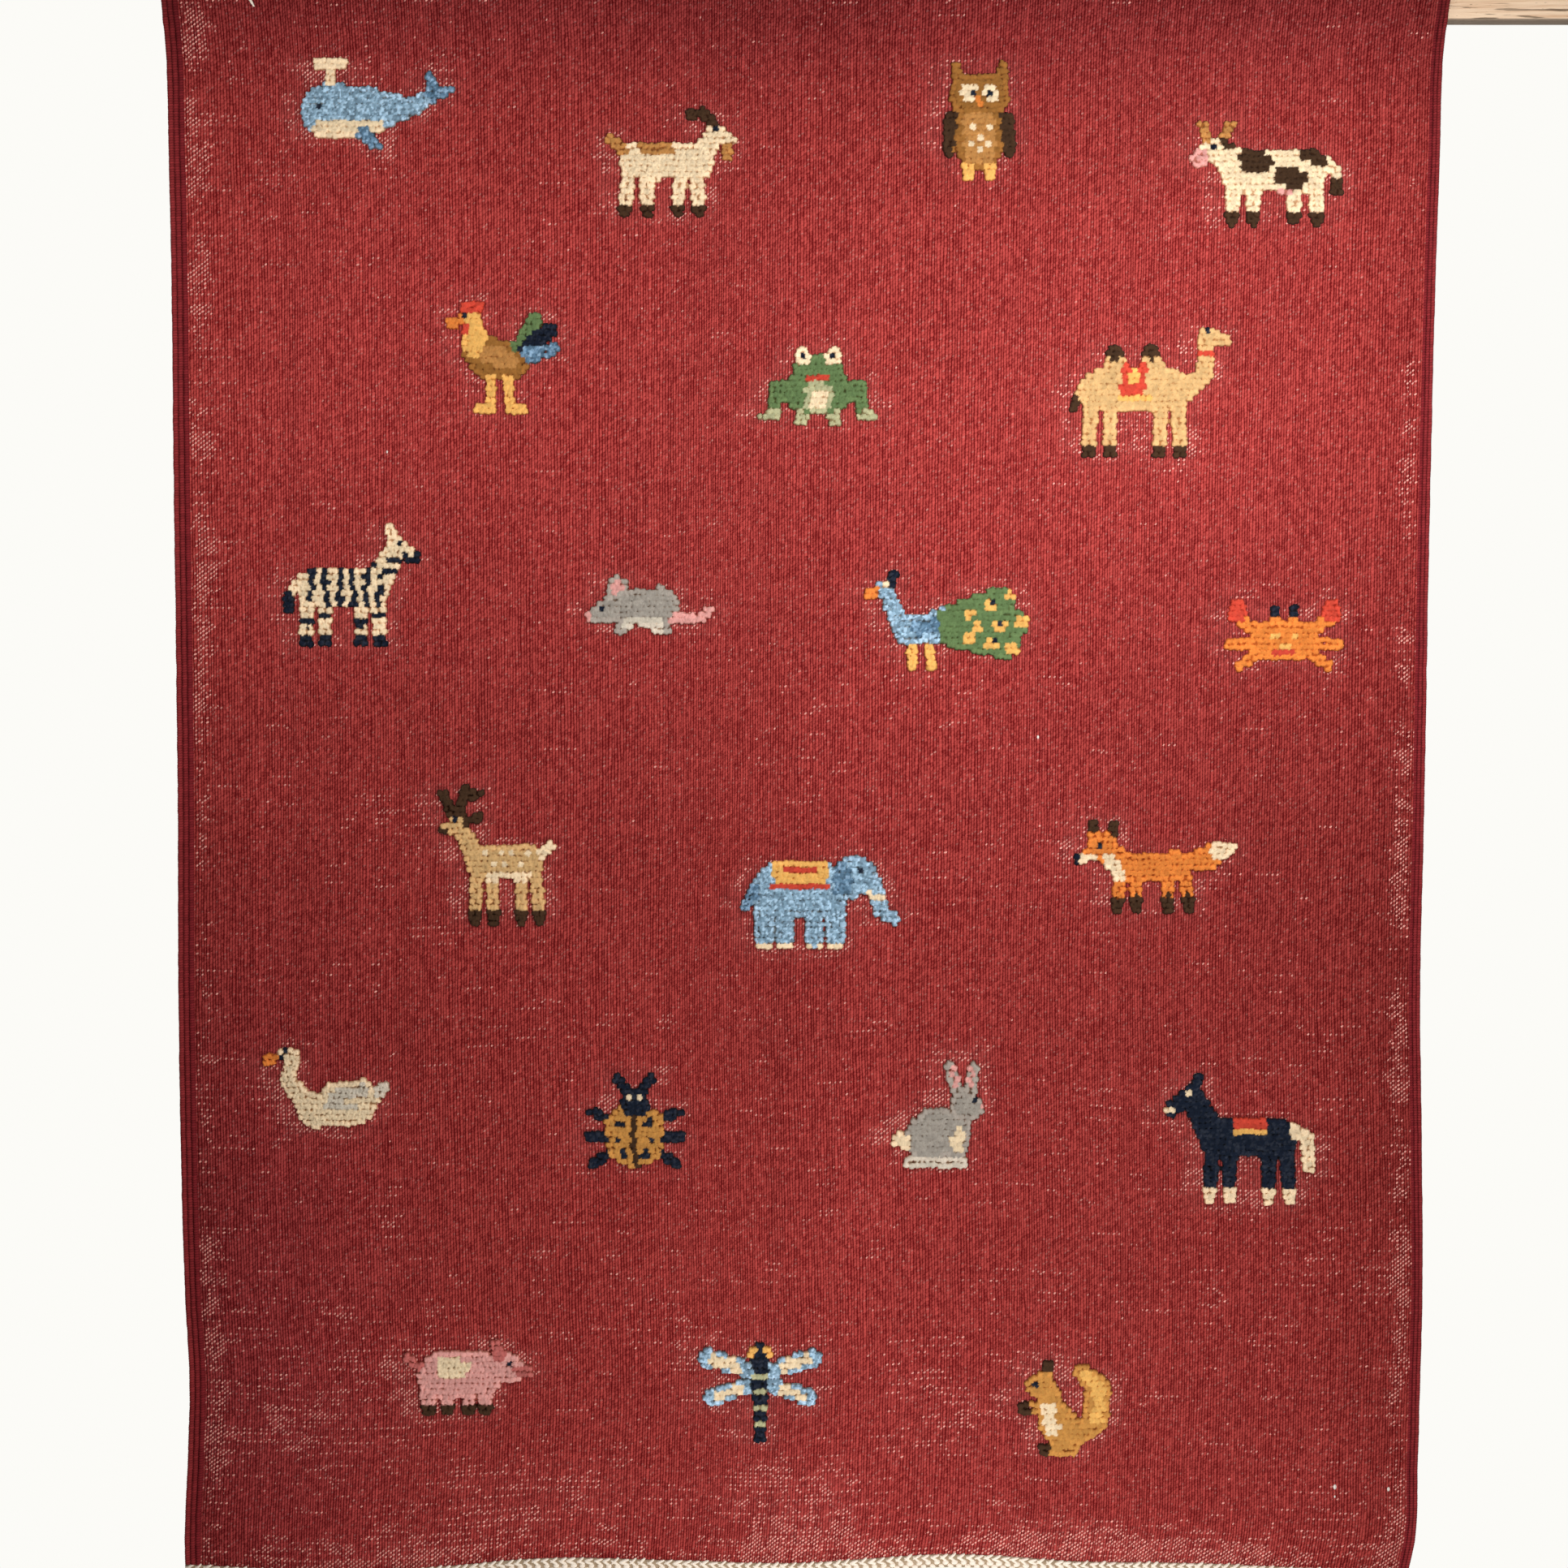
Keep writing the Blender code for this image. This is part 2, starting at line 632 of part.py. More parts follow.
def lay_figure(builder, place):
    """Flat faces over a figure: lattice squares inside it, and cut squares along its edge."""
    steps = np.arange(-LATTICE_REACH, LATTICE_REACH + 1) * LATTICE
    x, z = np.meshgrid(steps, steps, indexing="ij")
    inside = inside_by(x, z, FIGURES[place.figure], place.faces)
    made = {}

    def corner(a, b):
        """The lattice point a, or the crossing of the figure's edge between a and b."""
        key = (min(a, b), max(a, b))
        if key not in made:
            share = 0.0
            if a != b:
                share = float(np.clip(inside[a] / (inside[a] - inside[b]), *CROSSING_RANGE))
            across = place.across + x[a] + share * (x[b] - x[a])
            height = CLOTH_TOP - place.down + z[a] + share * (z[b] - z[a])
            made[key] = builder.verts.new((across, 0.0, height))
        return made[key]

    for i in range(len(steps) - 1):
        for j in range(len(steps) - 1):
            square = ((i, j), (i + 1, j), (i + 1, j + 1), (i, j + 1))
            ring = []
            for a, b in zip(square, square[1:] + square[:1]):
                if inside[a] > 0:
                    ring.append(corner(a, a))
                if (inside[a] > 0) != (inside[b] > 0):
                    ring.append(corner(a, b))
            if ring:
                builder.faces.new(ring)


def build_figure(place, collection, material):
    """One figure of cut pile: a raised slab that follows the swells of the cloth below it."""
    builder = bmesh.new()
    lay_figure(builder, place)
    builder.normal_update()
    bmesh.ops.dissolve_limit(
        builder,
        angle_limit=OUTLINE_ANGLE,
        verts=builder.verts,
        edges=builder.edges,
    )
    for x in cloth_across(np.linspace(0.0, 1.0, CLOTH_COLUMNS + 1), place.down):
        if abs(x - place.across) < LATTICE_REACH * LATTICE:
            everything = builder.verts[:] + builder.edges[:] + builder.faces[:]
            bmesh.ops.bisect_plane(builder, geom=everything, plane_co=(x, 0, 0), plane_no=(1, 0, 0))
    bmesh.ops.triangulate(builder, faces=builder.faces)
    face = CLOTH_THICKNESS / 2 + SEAT_GAP
    for vert in builder.verts:
        vert.co.y = float(depth_at(vert.co.x, vert.co.z)) - face
    figure = add_object("figure_" + place.figure, builder, collection, material)
    add_solidify(figure, PILE_HEIGHT, 1.0)


def build_bar(collection, material):
    """The plain wooden bar behind the top of the rug, its edges worn round."""
    builder = bmesh.new()
    bmesh.ops.create_cube(builder, size=1.0)
    bmesh.ops.scale(builder, vec=(BAR_RIGHT - BAR_LEFT, BAR_DEPTH, BAR_HEIGHT), verts=builder.verts)
    middle = ((BAR_LEFT + BAR_RIGHT) / 2, -BAR_DEPTH / 2, 0.0)
    bmesh.ops.translate(builder, vec=middle, verts=builder.verts)
    bar = add_object("hanging_bar", builder, collection, material)
    rounding = bar.modifiers.new("Worn edges", "BEVEL")
    rounding.width = BAR_EDGE_ROUNDING
    rounding.segments = 2
    rounding.limit_method = "NONE"


def main():
    for old in list(bpy.data.objects):
        bpy.data.objects.remove(old, do_unlink=True)
    collection = bpy.data.collections.new("wool_rug")
    bpy.context.scene.collection.children.link(collection)
    ground = yarn_material("red_wool", (0.33, 0.035, 0.032), 0.95)
    cords = yarn_material("dark_red_wool", (0.24, 0.028, 0.026), 0.95)
    cotton = yarn_material("cream_cotton", (0.86, 0.74, 0.54), 0.9)
    wood = yarn_material("weathered_wood", (0.62, 0.44, 0.29), 0.8)
    yarns = {name: yarn_material(name + "_pile", rgb, 0.95) for name, rgb in YARNS.items()}
    build_cloth(collection, ground)
    build_selvedge("left", collection, cords)
    build_selvedge("right", collection, cords)
    build_lower_braid(collection, cotton)
    build_upper_braid(collection, cotton)
    build_bar(collection, wood)
    for place in PLACES:
        build_figure(place, collection, yarns[place.yarn])


main()
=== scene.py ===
"""The looks of a wool rug that hangs in front of a wooden bar.

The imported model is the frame: metres, +Z up, origin on the bar's back face at the rug's
centre line, the rug's face towards -Y. Every soft piece is worked out here as a numpy
surface from the same edges, lower end and swells as the model, and takes its node's place.
"""
from typing import NamedTuple

import bpy
import numpy as np
from bpy.props import FloatProperty, FloatVectorProperty, IntProperty, PointerProperty
from bpy.types import Operator, Panel, PropertyGroup
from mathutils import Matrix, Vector


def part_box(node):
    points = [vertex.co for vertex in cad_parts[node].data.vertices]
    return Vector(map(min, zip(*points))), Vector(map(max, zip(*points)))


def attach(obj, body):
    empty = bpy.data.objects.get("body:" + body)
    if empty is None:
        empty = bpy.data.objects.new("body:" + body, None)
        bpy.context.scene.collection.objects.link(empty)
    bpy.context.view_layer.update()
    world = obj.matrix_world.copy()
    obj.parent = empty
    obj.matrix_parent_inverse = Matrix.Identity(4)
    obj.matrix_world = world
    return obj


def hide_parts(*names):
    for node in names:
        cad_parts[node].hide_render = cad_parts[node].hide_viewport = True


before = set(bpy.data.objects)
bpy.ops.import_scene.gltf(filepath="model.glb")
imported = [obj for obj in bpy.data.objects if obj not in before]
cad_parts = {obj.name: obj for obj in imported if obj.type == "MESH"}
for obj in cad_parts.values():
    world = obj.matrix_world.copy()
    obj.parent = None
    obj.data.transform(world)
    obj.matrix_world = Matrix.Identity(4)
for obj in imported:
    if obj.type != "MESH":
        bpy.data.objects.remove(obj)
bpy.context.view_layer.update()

bl_info = {
    "name": "Wool rug",
    "version": (1, 0, 0),
    "blender": (4, 5, 0),
    "location": "View3D > Sidebar > Rug",
    "description": "Weaves, knots and hangs a flat-woven wool rug with small pile figures",
    "category": "Object",
}

MILLIMETRE = 0.001

# The cloth and its bar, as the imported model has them
CLOTH_LENGTH = 1.500
CLOTH_TOP = 0.008
CLOTH_THICKNESS = 0.003
SEAT_GAP = 0.0004
BAR_DEPTH = 0.018
BAR_FACE = -BAR_DEPTH - SEAT_GAP
BAR_CLEARANCE = 0.0024
LEAVES_BAR_FROM = 0.011
CLEAR_OF_BAR_FROM = 0.029
SWELLS_FROM = 0.080
SELVEDGE_WIDTH = {"left": 0.0155, "right": 0.0113}
INWARD = {"left": 1, "right": -1}
CORD_BULGE_SHARE = 0.46
CORDS_ON_BAR_TO = 0.032
UNDER_CORDS = 0.0012

# Wool and cotton as the light shows them, where no yarn's own colour holds
WORN_WOOL = (0.640, 0.300, 0.260, 1.0)
FLECK_COTTON = (0.930, 0.880, 0.800, 1.0)

FACES_LEFT = 1
FACES_RIGHT = -1


class Edge(NamedTuple):
    """The rug's outer edges at one distance down from its top end."""
    down: float
    left: float
    right: float


class Rise(NamedTuple):
    """How far the lower end of the cloth stands above its mean line at one place."""
    across: float
    rise: float


class Swell(NamedTuple):
    """A soft vertical ridge (towards the viewer, positive) in the hanging cloth."""
    across: float
    half_width: float
    top: float
    middle: float
    bottom: float


class Place(NamedTuple):
    """Where a figure sits: across and down from the top of the rug, and where it faces."""
    figure: str
    across: float
    down: float
    faces: int
    yarn: str


class Tone(NamedTuple):
    """A soft spot of the ground that is a little lighter or darker, by a share of its tone."""
    across: float
    down: float
    half_width: float
    half_height: float
    change: float


class Fleck(NamedTuple):
    """A spot where the bare cotton stands out of the ground, in metres across and down."""
    across: float
    down: float
    size: float


EDGES = (
    Edge(0.000, -0.598, 0.605),
    Edge(0.050, -0.593, 0.598),
    Edge(0.160, -0.591, 0.595),
    Edge(0.470, -0.591, 0.591),
    Edge(0.780, -0.592, 0.590),
    Edge(0.940, -0.594, 0.589),
    Edge(1.090, -0.594, 0.593),
    Edge(1.240, -0.592, 0.596),
    Edge(1.320, -0.589, 0.595),
    Edge(1.400, -0.592, 0.594),
    Edge(1.475, -0.596, 0.592),
    Edge(1.500, -0.596, 0.587),
)

LOWER_END = (
    Rise(-0.600, -0.001),
    Rise(-0.490, -0.005),
    Rise(-0.370, -0.005),
    Rise(-0.245, 0.003),
    Rise(-0.120, 0.001),
    Rise(0.000, -0.002),
    Rise(0.065, 0.004),
    Rise(0.130, 0.010),
    Rise(0.190, 0.009),
    Rise(0.250, 0.003),
    Rise(0.430, -0.003),
    Rise(0.600, -0.005),
)

SWELLS = (
    Swell(-0.470, 0.110, 0.0000, 0.0025, 0.0050),
    Swell(-0.230, 0.120, 0.0000, -0.0020, -0.0035),
    Swell(-0.020, 0.090, 0.0000, -0.0030, -0.0045),
    Swell(0.170, 0.110, 0.0000, 0.0030, 0.0060),
    Swell(0.360, 0.090, 0.0000, -0.0015, -0.0040),
    Swell(0.530, 0.080, 0.0000, 0.0025, 0.0050),
)

# Painted shade among these spots: the first darkens the top where the rug leaves the bar, and the
# narrow dark and light pair low in the middle paints the shaded and the lit face of a fold. The rest
# make soft spots and bands of the ground lighter or darker.
TONES = (
    Tone(0.000, 0.000, 9.000, 0.085, -0.30),
    Tone(0.000, 1.200, 9.000, 0.500, -0.05),
    Tone(0.000, 1.520, 9.000, 0.300, -0.07),
    Tone(0.020, 0.050, 0.110, 0.090, -0.08),
    Tone(-0.420, 0.330, 0.230, 0.190, 0.13),
    Tone(0.450, 0.760, 0.150, 0.240, -0.14),
    Tone(0.590, 0.950, 0.110, 0.380, -0.15),
    Tone(-0.610, 1.150, 0.090, 0.380, -0.17),
    Tone(-0.600, 1.280, 0.120, 0.250, -0.08),
    Tone(-0.470, 0.800, 0.130, 0.240, -0.05),
    Tone(-0.250, 0.760, 0.200, 0.180, -0.06),
    Tone(0.020, 1.170, 0.170, 0.130, 0.09),
    Tone(-0.590, 0.900, 0.035, 9.000, -0.08),
    Tone(0.590, 0.900, 0.045, 9.000, -0.08),
    Tone(-0.020, 1.000, 0.026, 0.600, -0.06),
    Tone(0.060, 1.100, 0.026, 0.600, 0.06),
    Tone(0.150, 0.370, 0.460, 0.190, 0.05),
)

FLECKS = (
    Fleck(0.5139, 1.4240, 0.0024),
    Fleck(0.5139, 1.4335, 0.0012),
    Fleck(0.5656, 1.4263, 0.0020),
    Fleck(0.2233, 0.7010, 0.0016),
    Fleck(-0.2952, 0.8150, 0.0014),
    Fleck(-0.3900, 0.4330, 0.0013),
)

# Each figure's tapered, round-ended strokes: x and z of both ends and their two radii, in millimetres
FIGURES = {
    "whale": (
        (-36, 0, 0, 0, 26, 23), (0, 0, 42, 4, 22, 9), (42, 4, 62, 16, 8, 7),
        (62, 16, 58, 32, 7, 5), (62, 16, 76, 20, 7, 5), (-8, -16, 8, -32, 8, 5),
        (-34, 24, -34, 40, 5, 5), (-46, 44, -22, 44, 5, 5),
    ),
    "goat": (
        (-26, 0, 28, 2, 17, 18), (-28, 4, -44, 26, 11, 9), (-44, 28, -58, 20, 9, 6),
        (-42, 34, -32, 47, 5, 5), (-32, 47, -20, 44, 5, 5), (-55, 16, -55, 4, 5, 5),
        (-26, -12, -29, -44, 7, 6), (-10, -12, -9, -44, 6, 6), (20, -12, 20, -44, 7, 6),
        (36, -8, 41, -44, 7, 6), (42, 12, 54, 22, 6, 5),
    ),
    "owl": (
        (0, -8, 0, -22, 26, 22), (-8, 24, 8, 24, 20, 20), (-18, 36, -22, 50, 8, 5),
        (18, 36, 22, 50, 8, 5), (-24, 2, -28, -26, 9, 6), (24, 2, 28, -26, 9, 6),
        (-10, -40, -10, -48, 6, 6), (10, -40, 10, -48, 6, 6),
    ),
    "cow": (
        (-26, 0, 34, 0, 20, 21), (-36, 8, -46, 18, 14, 12), (-50, 20, -66, 10, 12, 8),
        (-42, 30, -36, 42, 5, 5), (-58, 28, -62, 42, 5, 5), (-32, -14, -34, -46, 8, 6),
        (-14, -14, -14, -46, 7, 6), (24, -14, 24, -46, 7, 6), (44, -10, 46, -46, 8, 6),
        (53, 10, 64, -2, 5, 5), (64, -2, 64, -20, 5, 6),
    ),
    "rooster": (
        (-4, 0, 16, -4, 20, 18), (-14, 6, -20, 34, 15, 9), (-20, 36, -24, 36, 10, 9),
        (-26, 46, -12, 48, 5, 5), (-30, 34, -40, 32, 6, 5), (26, 6, 40, 36, 9, 7),
        (28, 4, 54, 26, 9, 7), (26, -2, 58, 8, 8, 6), (-2, -16, -2, -46, 5, 5),
        (-2, -48, -14, -48, 5, 5), (14, -16, 16, -46, 5, 5), (16, -48, 28, -48, 5, 5),
    ),
    "frog": (
        (-10, -4, 10, -4, 21, 21), (-8, 14, 8, 14, 16, 16), (-14, 26, -15, 30, 8, 7),
        (14, 26, 15, 30, 8, 7), (-24, -10, -38, 0, 9, 8), (-38, 0, -42, -26, 7, 6),
        (-42, -27, -52, -28, 6, 5), (24, -10, 38, 0, 9, 8), (38, 0, 42, -26, 7, 6),
        (42, -27, 52, -28, 6, 5), (-12, -20, -16, -32, 7, 6), (12, -20, 16, -32, 7, 6),
    ),
    "camel": (
        (-30, 0, 34, 0, 20, 20), (-14, 16, -12, 34, 14, 8), (20, 16, 22, 34, 14, 8),
        (-44, 0, -62, 14, 11, 9), (-62, 14, -64, 46, 9, 8), (-64, 50, -80, 46, 9, 7),
        (-38, -12, -40, -60, 8, 6), (-22, -12, -20, -60, 7, 6), (26, -12, 26, -60, 7, 6),
        (44, -10, 46, -60, 8, 6), (50, 6, 60, -16, 5, 5),
    ),
    "zebra": (
        (-24, 0, 28, 0, 18, 18), (-32, 8, -46, 34, 13, 10), (-48, 40, -64, 28, 9, 7),
        (-44, 48, -42, 56, 5, 5), (-30, -12, -32, -52, 7, 6), (-14, -12, -14, -52, 6, 6),
        (20, -12, 20, -52, 6, 6), (36, -10, 38, -52, 7, 6), (42, 8, 54, -8, 5, 5),
        (54, -8, 54, -18, 5, 6),
    ),
    "mouse": (
        (-8, -4, 20, -4, 17, 20), (-26, -6, -44, -12, 13, 6), (-20, 14, -19, 16, 10, 10),
        (36, -14, 58, -16, 6, 5), (58, -16, 68, -4, 5, 5), (-10, -20, -18, -25, 6, 5),
        (16, -22, 28, -26, 6, 5),
    ),
    "peacock": (
        (-30, 0, -6, 2, 14, 13), (-38, 6, -50, 34, 9, 7), (-51, 38, -54, 38, 8, 8),
        (-60, 36, -68, 34, 5, 5), (-47, 44, -43, 54, 5, 5), (-2, 8, 58, 28, 12, 14),
        (0, -2, 62, -14, 12, 14), (0, 4, 70, 6, 12, 14), (-26, -12, -26, -36, 5, 5),
        (-10, -12, -8, -36, 5, 5),
    ),
    "crab": (
        (-15, 0, 15, 0, 18, 18), (-24, 8, -42, 20, 7, 6), (-44, 24, -44, 34, 10, 7),
        (24, 8, 42, 20, 7, 6), (44, 24, 44, 34, 10, 7), (-26, -2, -52, -4, 6, 5),
        (26, -2, 52, -4, 6, 5), (-22, -10, -42, -24, 6, 5), (22, -10, 42, -24, 6, 5),
        (-8, 16, -9, 28, 5, 5), (8, 16, 9, 28, 5, 5),
    ),
    "deer": (
        (-18, -6, 24, -4, 16, 16), (-26, 2, -38, 26, 10, 8), (-40, 32, -54, 26, 9, 6),
        (-32, 34, -22, 38, 5, 5), (-40, 40, -34, 66, 5, 5), (-36, 54, -22, 62, 5, 5),
        (-46, 38, -56, 62, 5, 5), (-24, -16, -26, -60, 6, 6), (-10, -16, -8, -60, 6, 6),
        (18, -16, 18, -60, 6, 6), (32, -14, 35, -60, 6, 6), (36, 2, 46, 10, 6, 5),
    ),
    "elephant": (
        (-8, 4, 30, 4, 27, 27), (-40, 16, -42, 16, 21, 20), (-58, 8, -66, -18, 9, 7),
        (-66, -18, -78, -24, 7, 6), (-22, -14, -22, -46, 10, 9), (-2, -14, -2, -46, 9, 9),
        (26, -14, 26, -46, 9, 9), (46, -10, 46, -46, 10, 9), (54, 8, 64, -14, 5, 5),
    ),
    "fox": (
        (-24, 0, 26, 2, 14, 14), (-28, 4, -42, 16, 13, 12), (-44, 18, -48, 18, 12, 12),
        (-50, 14, -68, 8, 8, 5), (-38, 26, -34, 40, 7, 5), (-52, 26, -54, 40, 7, 5),
        (-28, -8, -30, -38, 6, 6), (-13, -8, -12, -38, 6, 6), (18, -8, 18, -38, 6, 6),
        (34, -6, 38, -38, 6, 6), (36, 4, 58, 10, 8, 12), (60, 12, 78, 20, 12, 6),
    ),
    "swan": (
        (-14, -12, 26, -10, 18, 16), (34, -4, 52, 10, 11, 5), (2, 2, 32, 10, 12, 8),
        (-26, -2, -40, 16, 10, 8), (-40, 16, -36, 36, 7, 7), (-36, 40, -44, 40, 8, 7),
        (-52, 38, -60, 36, 5, 5),
    ),
    "beetle": (
        (0, 2, 0, -6, 28, 28), (0, 28, 0, 34, 14, 11), (-6, 40, -16, 52, 5, 5),
        (6, 40, 16, 52, 5, 5), (-24, 12, -42, 20, 5, 5), (24, 12, 42, 20, 5, 5),
        (-26, -4, -44, -4, 5, 5), (26, -4, 44, -4, 5, 5), (-24, -20, -40, -30, 5, 5),
        (24, -20, 40, -30, 5, 5),
    ),
    "rabbit": (
        (6, -8, 14, -14, 24, 23), (-14, -4, -12, -24, 13, 11), (-20, 18, -27, 16, 14, 12),
        (-14, 30, -6, 54, 6, 6), (-26, 30, -28, 54, 6, 6), (-18, -38, -2, -38, 6, 6),
        (6, -38, 32, -38, 7, 6), (36, -18, 42, -16, 8, 8),
    ),
    "horse": (
        (-26, 0, 30, 0, 19, 19), (-34, 8, -50, 36, 14, 11), (-52, 42, -72, 28, 10, 7),
        (-48, 50, -46, 58, 5, 5), (-32, -12, -34, -58, 7, 6), (-16, -12, -15, -58, 7, 6),
        (22, -12, 22, -58, 7, 6), (38, -10, 42, -58, 8, 6), (44, 8, 58, 0, 7, 7),
        (58, 0, 60, -28, 7, 6),
    ),
    "pig": (
        (-16, 0, 22, 0, 22, 23), (-38, 6, -42, 6, 16, 15), (-52, 2, -60, 2, 8, 7),
        (-34, 18, -30, 30, 7, 5), (-20, -16, -20, -36, 8, 6), (-4, -16, -4, -36, 7, 6),
        (16, -16, 16, -36, 7, 6), (34, -14, 34, -36, 8, 6), (42, 8, 54, 16, 5, 5),
    ),
    "dragonfly": (
        (0, 24, 0, -50, 8, 5), (-2, 34, 2, 34, 10, 10), (-8, 18, -50, 30, 8, 10),
        (8, 18, 50, 30, 8, 10), (-8, 4, -46, -8, 7, 9), (8, 4, 46, -8, 7, 9),
    ),
    "squirrel": (
        (0, -14, 6, -22, 18, 19), (-6, 2, -8, 12, 13, 12), (-14, 22, -22, 20, 12, 9),
        (-10, 32, -8, 42, 6, 5), (-12, 0, -32, -2, 6, 6), (-12, -42, 16, -42, 6, 7),
        (18, -30, 36, -18, 9, 12), (38, -14, 40, 16, 13, 13), (38, 20, 24, 34, 12, 8),
    ),
}

